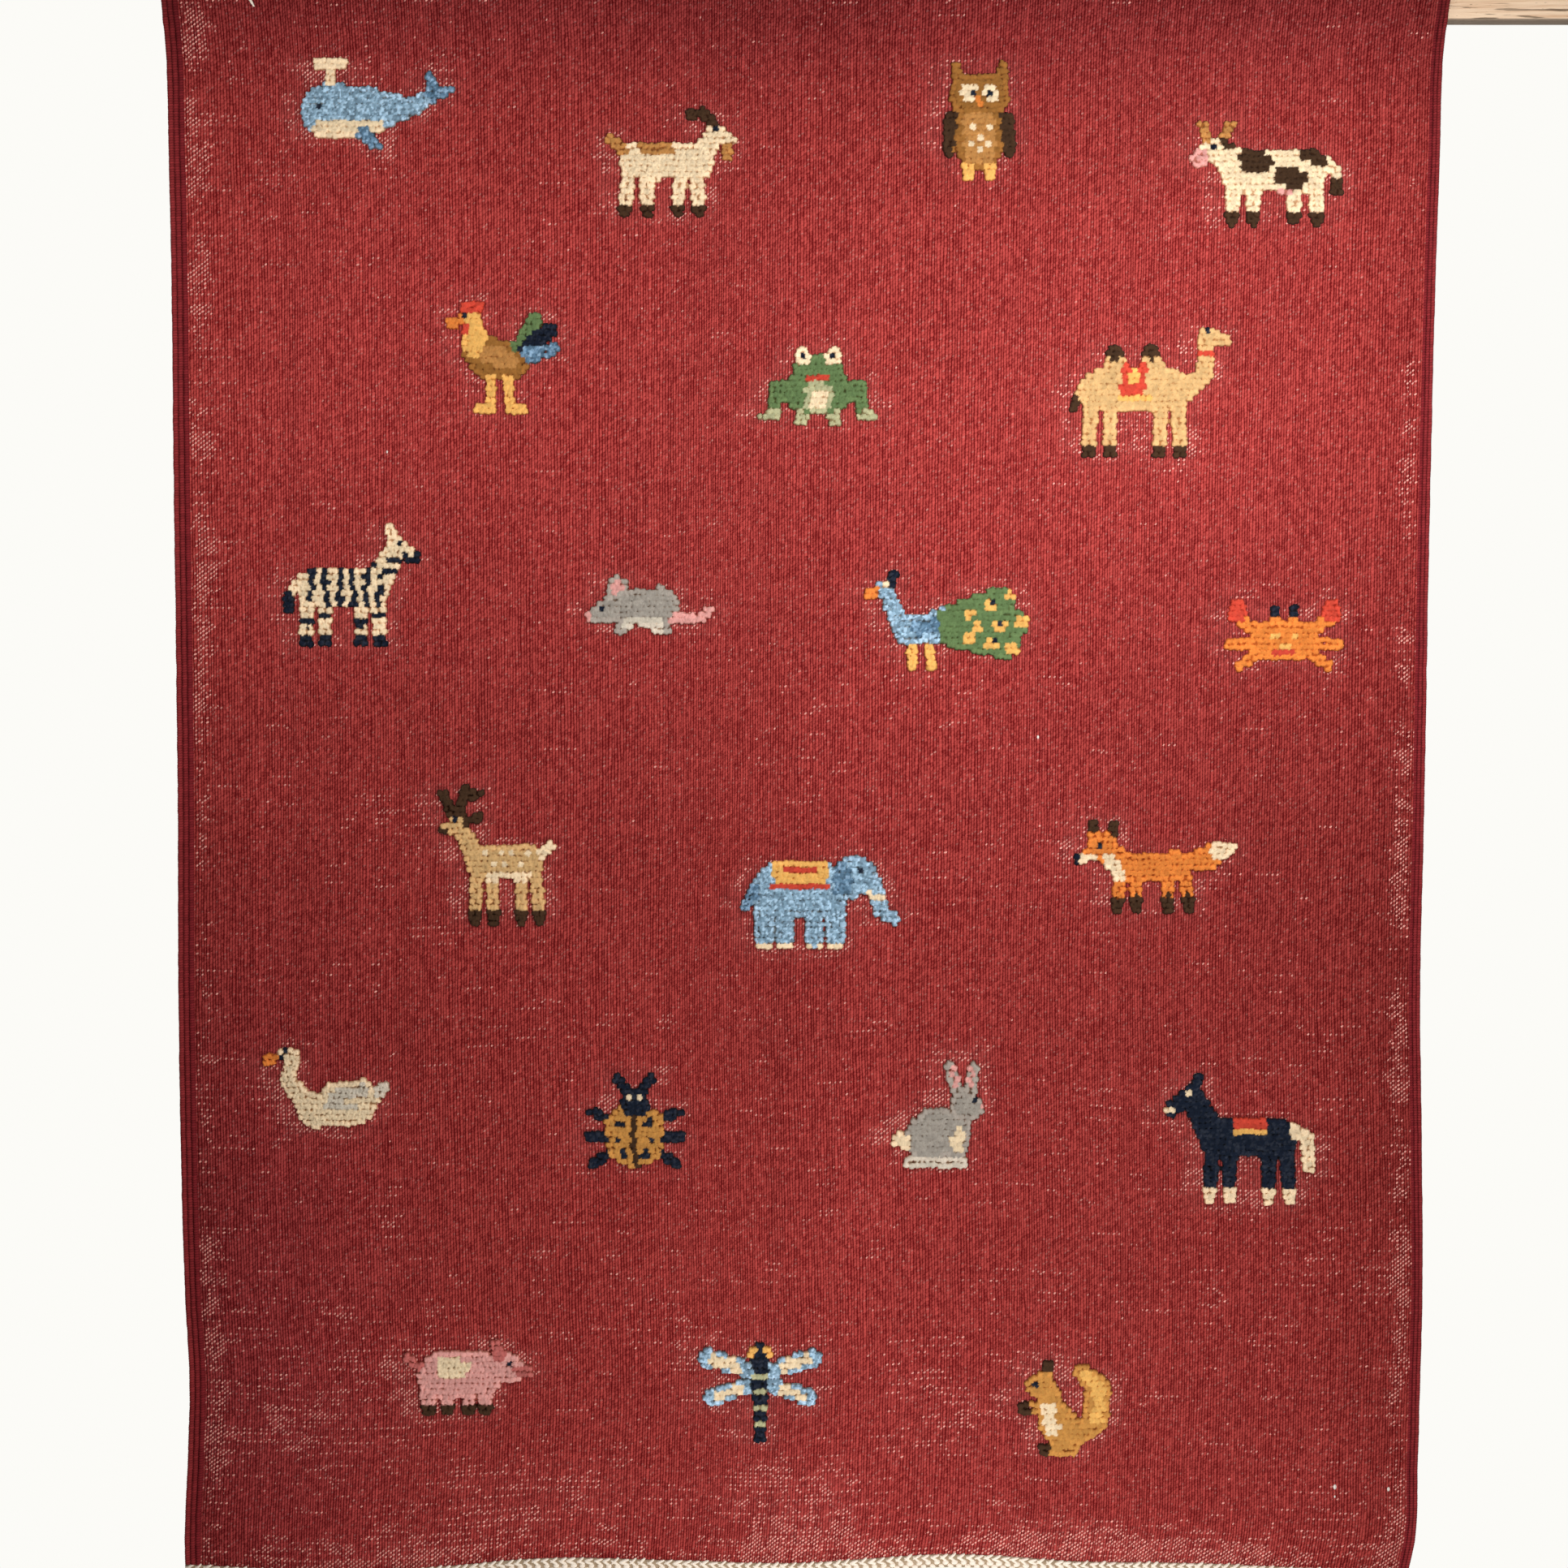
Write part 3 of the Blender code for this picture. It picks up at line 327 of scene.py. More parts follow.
# Where each figure changes yarn: yarn, radius and strokes in millimetres, the later over the earlier.
# A stroke of two numbers is a dot.
MARKS = {
    "whale": (
        ("cream", 9, (-44, -17, 6, -17)), ("cream", 6, (-34, 28, -34, 42), (-46, 44, -22, 44)),
        ("slate", 9, (64, 16, 76, 20)), ("slate", 8, (60, 24, 58, 34)),
        ("slate", 7, (-4, -22, 8, -34)), ("navy", 3, (-46, 4)),
    ),
    "goat": (
        ("umber", 6, (-42, 37, -32, 47), (-32, 47, -20, 44)), ("camel", 6, (-55, 13, -55, 2)),
        ("camel", 7, (2, 13, 22, 13), (44, 14, 56, 24)),
        ("umber", 7, (-30, -44, -28, -50), (-9, -44, -9, -50), (20, -44, 20, -50), (41, -44, 42, -50)),
        ("navy", 3, (-47, 29)),
    ),
    "owl": (
        ("camel", 15, (0, -4, 0, -26)), ("umber", 8, (-28, 4, -32, -30), (28, 4, 32, -30)),
        ("cream", 8, (-10, 27), (9, 27)), ("navy", 3, (-9, 27), (8, 27)),
        ("orange", 3, (0, 19, 0, 15)),
        ("cream", 3, (-8, -4), (7, -4), (-1, -12, 1, -12), (-8, -20), (7, -20), (-1, -28, 1, -28)),
        ("yellow", 7, (-10, -45, -10, -54), (10, -45, 10, -54)),
    ),
    "cow": (
        ("umber", 10, (-18, 9, -6, 6)), ("umber", 9, (14, -6, 28, -8)),
        ("umber", 8, (38, 14, 48, 10)), ("umber", 5, (-40, 26, -38, 22)),
        ("pink", 9, (-64, 10, -72, 8)), ("camel", 6, (-41, 33, -36, 44), (-59, 32, -62, 44)),
        ("pink", 5, (8, -21, 16, -22)),
        ("umber", 7, (-34, -45, -34, -52), (-14, -45, -14, -52), (24, -45, 24, -52),
          (46, -45, 46, -52), (64, -15, 64, -26)),
        ("navy", 3, (-53, 22)),
    ),
    "rooster": (
        ("yellow", 13, (-17, 14, -22, 38)), ("red", 6, (-28, 46, -10, 49)),
        ("red", 4, (-28, 26, -27, 28)), ("orange", 6, (-33, 34, -44, 31)),
        ("green", 9, (28, 12, 41, 38)), ("navy", 8, (33, 8, 58, 28)), ("slate", 7, (34, 1, 62, 9)),
        ("camel", 9, (-2, 2, 14, -2)),
        ("yellow", 6, (-2, -21, -2, -46), (-2, -48, -16, -48), (15, -21, 16, -46), (16, -48, 30, -48)),
        ("navy", 3, (-25, 38)),
    ),
    "frog": (
        ("sage", 13, (0, -8, 0, -14)), ("cream", 8, (0, -10, 0, -14), (-15, 29), (14, 29)),
        ("navy", 3, (-15, 30), (14, 30)), ("red", 3, (-10, 9, 10, 9)),
        ("sage", 7, (-44, -28, -54, -29), (44, -28, 54, -29), (-16, -30, -18, -38), (16, -30, 18, -38)),
    ),
    "camel": (
        ("red", 12, (4, 17, 5, 2)), ("yellow", 3, (-8, -9, 17, -9)), ("yellow", 4, (4, 14, 5, 10)),
        ("umber", 7, (-12, 34, -12, 42), (22, 34, 22, 42), (-40, -58, -40, -66),
          (-20, -58, -20, -66), (26, -58, 26, -66), (46, -58, 46, -66)),
        ("umber", 6, (59, -13, 62, -22)), ("red", 3, (-60, 34, -68, 34)), ("navy", 3, (-67, 53)),
    ),
    "zebra": (
        ("navy", 3, (-33, 0, -30, -16), (-20, 18, -19, -16), (-7, 18, -8, -18), (6, 18, 5, -18),
          (19, 18, 18, -16), (32, 18, 32, -12)),
        ("navy", 4, (-24, 20, -34, 48)), ("navy", 3, (-50, 16, -34, 12), (-58, 28, -40, 26)),
        ("navy", 6, (-66, 26, -72, 24)),
        ("navy", 3, (-38, -28, -24, -28), (-20, -34, -8, -34), (14, -28, 26, -28), (30, -34, 44, -34)),
        ("navy", 7, (-32, -50, -32, -58), (-14, -50, -14, -58), (20, -50, 20, -58),
          (38, -50, 38, -58), (54, -12, 54, -24)),
        ("navy", 3, (-53, 42)),
    ),
    "mouse": (
        ("ash", 6, (-8, -19, 20, -21)), ("pink", 6, (-20, 16)),
        ("pink", 7, (38, -14, 58, -17), (60, -15, 70, -3)), ("pink", 4, (-47, -13, -52, -14)),
        ("navy", 3, (-33, -4)),
    ),
    "peacock": (
        ("green", 14, (12, 11, 58, 28), (14, -4, 62, -14), (14, 4, 72, 6)),
        ("yellow", 5, (26, 15)), ("yellow", 6, (46, 24)), ("yellow", 5, (64, 32), (34, 4)),
        ("yellow", 6, (56, 5)), ("yellow", 5, (76, 7), (28, -8)), ("yellow", 6, (48, -12)),
        ("yellow", 5, (67, -16)), ("navy", 3, (47, 24), (57, 5), (49, -12)),
        ("slate", 7, (-22, 2, -8, 4)), ("orange", 6, (-62, 36, -72, 33)),
        ("navy", 6, (-47, 47, -43, 58)), ("yellow", 6, (-26, -17, -26, -40), (-10, -17, -8, -40)),
        ("cream", 3, (-54, 40)),
    ),
    "crab": (
        ("red", 11, (-44, 27, -44, 40), (44, 27, 44, 40)),
        ("yellow", 4, (-10, 5), (9, 5), (-1, -4, 1, -4)), ("red", 3, (-8, -13, 8, -13)),
        ("navy", 5, (-9, 28, -9, 32), (9, 28, 9, 32)),
    ),
    "deer": (
        ("umber", 6, (-30, 35, -20, 39), (-40, 44, -34, 70), (-34, 56, -20, 64), (-47, 44, -56, 66)),
        ("cream", 5, (-12, -20, 22, -19)),
        ("cream", 3, (-14, 2), (-2, 4), (10, 4), (22, 3), (-8, -7), (4, -6), (16, -6)),
        ("cream", 7, (38, 4, 48, 11)), ("umber", 4, (-55, 25, -60, 24)),
        ("umber", 7, (-26, -57, -26, -66), (-8, -57, -8, -66), (18, -57, 18, -66), (35, -57, 35, -66)),
        ("navy", 3, (-44, 34)),
    ),
    "elephant": (
        ("yellow", 14, (-2, 20, 26, 20)), ("red", 3, (-12, 7, 36, 7), (-2, 22, 26, 22)),
        ("slate", 9, (-30, 20, -28, 8)), ("slate", 6, (56, 4, 64, -18)),
        ("cream", 3, (-54, -1, -66, -4), (-30, -53, -14, -53), (-10, -53, 6, -53),
          (18, -53, 34, -53), (38, -53, 54, -53)),
        ("navy", 3, (-47, 21)),
    ),
    "fox": (
        ("cream", 10, (69, 16, 82, 22)), ("cream", 6, (-30, -6, -38, 6)),
        ("cream", 5, (-56, 9, -70, 7)), ("navy", 4, (-69, 8, -74, 7)),
        ("umber", 6, (-34, 37, -33, 44), (-54, 37, -54, 44)),
        ("umber", 7, (-30, -33, -30, -44), (-12, -33, -12, -44), (18, -33, 18, -44),
          (38, -33, 38, -44)),
        ("navy", 3, (-50, 20)),
    ),
    "swan": (
        ("ash", 6, (4, 0, 32, 8)), ("ash", 3, (-4, -10, 22, -8)), ("ash", 6, (46, 5, 56, 12)),
        ("orange", 6, (-53, 38, -66, 35)), ("navy", 3, (-48, 39), (-41, 43)),
    ),
    "beetle": (
        ("navy", 15, (0, 30, 0, 38)), ("navy", 7, (-6, 40, -16, 54), (6, 40, 16, 54)),
        ("navy", 6, (-31, 15, -44, 21), (31, 15, 44, 21), (-32, -4, -48, -4), (32, -4, 48, -4),
          (-29, -22, -42, -32), (29, -22, 42, -32)),
        ("umber", 3, (0, 16, 0, -34)), ("navy", 5, (-13, 9), (12, 9)),
        ("navy", 4, (-16, -8), (15, -8), (-9, -21), (8, -21)), ("cream", 3, (-6, 35), (5, 35)),
    ),
    "rabbit": (
        ("pink", 3, (-12, 36, -7, 52), (-26, 36, -28, 52)), ("cream", 9, (38, -18, 46, -15)),
        ("cream", 6, (-14, -8, -13, -22)), ("ash", 6, (8, -38, 34, -38), (-18, -38, -4, -38)),
        ("pink", 4, (-39, 15, -42, 15)), ("navy", 3, (-29, 21)),
    ),
    "horse": (
        ("cream", 4, (-24, 22, -38, 50)), ("cream", 9, (48, 8, 58, 0), (58, -2, 60, -32)),
        ("red", 9, (-4, 16, 12, 14)), ("yellow", 3, (-8, 6, 16, 6)),
        ("cream", 7, (-34, -56, -34, -64), (-15, -56, -15, -64), (22, -56, 22, -64),
          (42, -56, 42, -64)),
        ("cream", 4, (-70, 29, -78, 26)), ("cream", 3, (-57, 43)),
    ),
    "pig": (
        ("cream", 10, (4, 6, 16, 8)), ("rose", 8, (-56, 2, -66, 2)),
        ("rose", 7, (-34, 20, -30, 34)), ("rose", 6, (44, 8, 56, 18)),
        ("umber", 7, (-20, -35, -20, -42), (-4, -35, -4, -42), (16, -35, 16, -42), (34, -35, 34, -42)),
        ("navy", 3, (-45, 10)),
    ),
    "dragonfly": (
        ("cream", 5, (-22, 22, -46, 29), (22, 22, 46, 29)),
        ("cream", 4, (-20, 0, -42, -7), (20, 0, 42, -7)), ("navy", 7, (0, 24, 0, -56)),
        ("navy", 11, (-4, 34, 4, 34)),
        ("sage", 3, (-6, 12, 6, 12), (-6, -4, 6, -4), (-6, -20, 6, -20), (-6, -36, 6, -36)),
        ("yellow", 4, (-7, 36), (6, 36)),
    ),
    "squirrel": (
        ("cream", 7, (-8, -2, -4, -22)), ("yellow", 6, (40, -12, 41, 16)),
        ("yellow", 5, (38, 20, 26, 32)), ("umber", 8, (-34, -2, -40, -2)),
        ("umber", 6, (-9, 38, -8, 48)), ("umber", 7, (-14, -43, -20, -43)), ("navy", 3, (-19, 23)),
    ),
}

PLACES = (
    Place("whale", -0.405, 0.118, FACES_LEFT, "blue"),
    Place("goat", -0.125, 0.165, FACES_RIGHT, "cream"),
    Place("owl", 0.165, 0.128, FACES_LEFT, "brown"),
    Place("cow", 0.435, 0.172, FACES_LEFT, "cream"),
    Place("rooster", -0.290, 0.345, FACES_LEFT, "brown"),
    Place("frog", 0.015, 0.372, FACES_LEFT, "green"),
    Place("camel", 0.315, 0.375, FACES_RIGHT, "tan"),
    Place("zebra", -0.430, 0.560, FACES_RIGHT, "cream"),
    Place("mouse", -0.155, 0.575, FACES_LEFT, "grey"),
    Place("peacock", 0.130, 0.600, FACES_LEFT, "blue"),
    Place("crab", 0.455, 0.610, FACES_LEFT, "orange"),
    Place("deer", -0.285, 0.815, FACES_LEFT, "tan"),
    Place("elephant", 0.010, 0.850, FACES_RIGHT, "blue"),
    Place("fox", 0.330, 0.825, FACES_LEFT, "orange"),
    Place("swan", -0.450, 1.045, FACES_LEFT, "cream"),
    Place("beetle", -0.160, 1.080, FACES_LEFT, "gold"),
    Place("rabbit", 0.135, 1.070, FACES_RIGHT, "grey"),
    Place("horse", 0.425, 1.085, FACES_LEFT, "navy"),
    Place("pig", -0.325, 1.315, FACES_RIGHT, "pink"),
    Place("dragonfly", -0.040, 1.330, FACES_LEFT, "blue"),
    Place("squirrel", 0.245, 1.345, FACES_LEFT, "gold"),
)


def swatch(name, description, default):
    """A colour as the eye reads it on a screen."""
    return FloatVectorProperty(
        name=name,
        description=description,
        default=default,
        size=3,
        min=0.0,
        max=1.0,
        subtype="COLOR_GAMMA",
    )


def number(name, description, default, unit="LENGTH"):
    """A measure in this unit."""
    return FloatProperty(name=name, description=description, default=default, unit=unit)


# How far the loops of a yarn's knots are cut open, so that they stand as fibres
CUT_SHARE = {"brown": 0.8, "gold": 0.7, "navy": 0.9, "grey": 0.8, "blue": 0.5, "tan": 0.4, "pink": 0.4}


class RugGround(PropertyGroup):
    """The woven field between the selvedges."""
    warps: IntProperty(
        name="Warps",
        description="Cotton warps under the weft, counted from selvedge to selvedge",
        default=444,
    )
    pick: number("Pick", "Height of one pass of the weft", 0.0020)
    rib_depth: number("Rib depth", "How far the cloth dips between two warps", 0.00042)
    # Ridge is the lit red on top of a warp; groove is the same wool in painted shade between two warps.
    ridge: swatch("Ridge", "Red wool on top of a warp", (0.765, 0.300, 0.280))
    shaded_groove: swatch("Groove", "Red wool between two warps", (0.415, 0.070, 0.080))
    warp: swatch("Bare warp", "Undyed cotton that shows through", (0.985, 0.690, 0.640))


class RugEdges(PropertyGroup):
    """The wrapped side cords and the cotton finish of the two ends."""
    cords: IntProperty(name="Cords", description="Cords in one selvedge", default=3)
    wrap: number("Wrap", "Height of one turn of yarn round a cord", 0.0024)
    loop: number("Loop", "Length of one chain loop of the cotton finish", 0.0086)
    outer: swatch("Outer cord", "Red wool of the outermost cord", (0.600, 0.205, 0.215))
    inner: swatch("Inner cord", "Duller red of the innermost cord", (0.530, 0.160, 0.180))
    cotton: swatch("Cotton", "Undyed cotton of the end finish", (0.995, 0.945, 0.880))


class RugPile(PropertyGroup):
    """The knotted figures."""
    knot_width: number("Knot width", "Width of one knot", 0.0054)
    knot_height: number("Knot height", "Height of one row of knots", 0.0052)
    pile: number("Pile", "Length of the pile above the cloth", 0.0055)
    cream: swatch("Cream", "Undyed wool", (0.975, 0.880, 0.730))
    ash: swatch("Ash", "Pale grey wool", (0.850, 0.810, 0.740))
    blue: swatch("Blue", "Light indigo wool", (0.560, 0.690, 0.780))
    slate: swatch("Slate", "Deeper indigo wool", (0.400, 0.540, 0.650))
    navy: swatch("Navy", "Darkest indigo wool", (0.090, 0.125, 0.190))
    brown: swatch("Brown", "Walnut-dyed wool", (0.620, 0.420, 0.200))
    umber: swatch("Umber", "Dark brown wool", (0.270, 0.190, 0.130))
    gold: swatch("Gold", "Old gold wool", (0.800, 0.570, 0.290))
    yellow: swatch("Yellow", "Warm yellow wool", (0.950, 0.730, 0.400))
    camel: swatch("Camel", "Camel-coloured wool", (0.760, 0.540, 0.300))
    tan: swatch("Tan", "Light tan wool", (0.860, 0.700, 0.480))
    green: swatch("Green", "Leaf green wool", (0.400, 0.500, 0.320))
    sage: swatch("Sage", "Pale sage wool", (0.720, 0.720, 0.560))
    grey: swatch("Grey", "Grey wool", (0.660, 0.630, 0.590))
    orange: swatch("Orange", "Madder orange wool", (0.900, 0.530, 0.240))
    red: swatch("Red", "Bright red wool", (0.820, 0.290, 0.220))
    pink: swatch("Pink", "Faded pink wool", (0.900, 0.650, 0.620))
    rose: swatch("Rose", "Deeper pink wool", (0.760, 0.420, 0.400))


class RugBar(PropertyGroup):
    """The weathered bar."""
    face: swatch("Face", "Bleached face of the wood", (0.985, 0.865, 0.740))
    grain: swatch("Grain", "Darker bands of the grain", (0.880, 0.720, 0.580))
    crack: swatch("Crack", "Cracks and nail-dark flecks", (0.380, 0.295, 0.210))


class RugStage(PropertyGroup):
    """The studio round the rug."""
    camera_distance: number("Camera distance", "From the wall", 2.2)
    camera_across: number("Camera across", "Sideways place of the camera", -0.017)
    camera_height: number("Camera height", "Height of the camera", -0.608)
    camera_tilt: number(
        "Camera tilt", "How far the camera looks down", float(np.radians(3.408)), "ROTATION"
    )
    lens: number("Lens", "Focal length", 52.81, "CAMERA")
    upper_power: number("Upper lamp", "Power of the lamp at the upper right", 5.9, "POWER")
    left_power: number("Left lamp", "Power of the lamp at the upper left", 2.4, "POWER")
    lower_power: number("Lower lamp", "Power of the lamp low down", 4.6, "POWER")
    back_power: number("Back lamp", "Power of the lamp behind the rug", 20.0, "POWER")
    room_light: number("Room light", "Even light from all round", 0.28, "NONE")
    floor_height: number("Floor height", "Height of the floor", -2.150)


def smooth_curve(at, known, values):
    """A cubic through the known values, with the slope at each one from its neighbours."""
    known = np.asarray(known, float)
    values = np.asarray(values, float)
    slopes = np.gradient(values, known)
    at = np.clip(at, known[0], known[-1])
    i = np.clip(np.searchsorted(known, at, side="right") - 1, 0, len(known) - 2)
    span = known[i + 1] - known[i]
    t = (at - known[i]) / span
    start = values[i] * (2 * t**3 - 3 * t**2 + 1) + slopes[i] * span * (t**3 - 2 * t**2 + t)
    end = values[i + 1] * (3 * t**2 - 2 * t**3) + slopes[i + 1] * span * (t**3 - t**2)
    return start + end


def edge_at(down, side):
    """The outer edge of the rug on one side, this far down from its top end."""
    return smooth_curve(down, [e.down for e in EDGES], [getattr(e, side) for e in EDGES])


def lower_end_at(x):
    """The height of the lower end of the cloth."""
    rise = smooth_curve(x, [r.across for r in LOWER_END], [r.rise for r in LOWER_END])
    return CLOTH_TOP - CLOTH_LENGTH + rise


def height_at(x, t):
    """The height of a point a share t of the way down the cloth."""
    return CLOTH_TOP + t * (lower_end_at(x) - CLOTH_TOP)


def depth_at(x, z):
    """The middle of the cloth's thickness: close to the bar above, then free, with soft swells."""
    down = CLOTH_TOP - z
    near = BAR_FACE - CLOTH_THICKNESS / 2
    off = -BAR_DEPTH - BAR_CLEARANCE - CLOTH_THICKNESS / 2
    y = np.interp(down, (LEAVES_BAR_FROM, CLEAR_OF_BAR_FROM), (near, off))
    for swell in SWELLS:
        known = (0.0, SWELLS_FROM, CLOTH_LENGTH / 2, CLOTH_LENGTH)
        size = smooth_curve(down, known, (0.0, swell.top, swell.middle, swell.bottom))
        y = y - size * bell((x - swell.across) / swell.half_width)
    return y


def cloth_across(u, down):
    """The x of a point a share u of the way between the selvedges, just under their cords."""
    left = edge_at(down, "left") + SELVEDGE_WIDTH["left"] - UNDER_CORDS
    right = edge_at(down, "right") - SELVEDGE_WIDTH["right"] + UNDER_CORDS
    return left + u * (right - left)


def inside_by(x, z, limbs, faces):
    """How far a point lies inside the edge of a figure, and below zero outside it."""
    best = np.full(np.shape(x), -1.0)
    for x0, z0, x1, z1, r0, r1 in limbs:
        start = np.array((x0 * faces, z0)) * MILLIMETRE
        along = np.array((x1 * faces, z1)) * MILLIMETRE - start
        reach = float(along @ along)
        t = np.clip(((x - start[0]) * along[0] + (z - start[1]) * along[1]) / reach, 0, 1)
        radius = (r0 + t * (r1 - r0)) * MILLIMETRE
        distance = np.hypot(x - start[0] - t * along[0], z - start[1] - t * along[1])
        best = np.maximum(best, radius - distance)
    return best


def soft_noise(x, z, size_x, size_z, seed):
    """Random heights from -1 to 1 on a lattice, joined by the smooth step 3t^2 - 2t^3."""
    table = np.random.default_rng(seed).uniform(-1.0, 1.0, (257, 257))
    u = np.asarray(x, float) / size_x + 300.0
    v = np.asarray(z, float) / size_z + 300.0
    i = np.floor(u).astype(int)
    j = np.floor(v).astype(int)
    s = u - i
    t = v - j
    s = s * s * (3 - 2 * s)
    t = t * t * (3 - 2 * t)
    i %= 256
    j %= 256
    low = table[i, j] * (1 - s) + table[i + 1, j] * s
    high = table[i, j + 1] * (1 - s) + table[i + 1, j + 1] * s
    return low * (1 - t) + high * t


def mottle(x, z, size_x, size_z, seed):
    """Soft noise from 0 to 1."""
    return 0.5 + 0.5 * soft_noise(x, z, size_x, size_z, seed)


def bell(*offsets):
    """One in the middle, and exp(-(a^2 + b^2)) where the offsets are a and b."""
    return np.exp(-sum(offset**2 for offset in offsets))


def between(value, low, high):
    """The value's share of the way from low to high, held from 0 to 1."""
    return np.clip((value - low) / (high - low), 0, 1)


def linear(colour):
    """A screen colour as the renderer's linear light: ((c + 0.055) / 1.055) ^ 2.4."""
    c = np.asarray(tuple(colour), float)
    return np.where(c <= 0.04045, c / 12.92, ((c + 0.055) / 1.055) ** 2.4)


def rgba(colour):
    """A screen colour as a shader socket takes it."""
    return (*(float(c) for c in linear(colour)), 1.0)


def grid_faces(rows, columns, start=0, round_columns=False, flip=False):
    """Quads between neighbouring points of a grid that is stored row by row."""
    i = np.arange(rows - 1)[:, None]
    j = np.arange(columns if round_columns else columns - 1)[None, :]
    k = (j + 1) % columns
    corners = (i * columns + j, i * columns + k, (i + 1) * columns + k, (i + 1) * columns + j)
    faces = np.stack([np.broadcast_to(c, (rows - 1, j.shape[1])) for c in corners], axis=-1)
    faces = faces.reshape(-1, 4) + start
    return faces[:, ::-1] if flip else faces


def put_mesh(name, points, faces, material, values=None, uv=None):
    """A smooth mesh from an array of points and arrays of faces, with values on its points."""
    mesh = bpy.data.meshes.new(name)
    points = np.asarray(points, float).reshape(-1, 3)
    faces = [np.asarray(f, int) for f in faces]
    counts = np.concatenate([np.full(len(f), f.shape[1]) for f in faces])
    corners = np.concatenate([f.ravel() for f in faces])
    mesh.vertices.add(len(points))
    mesh.vertices.foreach_set("co", points.ravel())
    mesh.loops.add(len(corners))
    mesh.loops.foreach_set("vertex_index", corners)
    mesh.polygons.add(len(counts))
    mesh.polygons.foreach_set("loop_start", np.concatenate(([0], np.cumsum(counts)[:-1])))
    mesh.update(calc_edges=True)
    mesh.shade_smooth()
    if uv is not None:
        layer = mesh.uv_layers.new(name="weave")
        layer.uv.foreach_set("vector", np.asarray(uv, float)[corners].ravel())
    for key, value in (values or {}).items():
        value = np.asarray(value, float)
        if value.ndim == 1:
            mesh.attributes.new(key, "FLOAT", "POINT").data.foreach_set("value", value)
        else:
            colours = np.column_stack((value, np.ones(len(value)))).ravel()
            mesh.attributes.new(key, "FLOAT_COLOR", "POINT").data.foreach_set("color", colours)
    mesh.materials.append(material)
    piece = bpy.data.objects.new(name, mesh)
    bpy.context.scene.collection.objects.link(piece)
    return piece


def hand_over(piece, node):
    """The piece rides with the rug and takes the node's place."""
    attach(piece, "root")
    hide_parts(node)


class Value:
    """A number in a node tree that takes +, -, * and ** like any other."""

    def __init__(self, nodes, socket):
        self.nodes = nodes
        self.socket = socket

    def __add__(self, other):
        return self.nodes.math("ADD", self, other)

    def __sub__(self, other):
        return self.nodes.math("SUBTRACT", self, other)

    def __rsub__(self, other):
        return self.nodes.math("SUBTRACT", other, self)

    def __mul__(self, other):
        return self.nodes.math("MULTIPLY", self, other)

    def __pow__(self, other):
        return self.nodes.math("POWER", self, other)

    __radd__ = __add__
    __rmul__ = __mul__


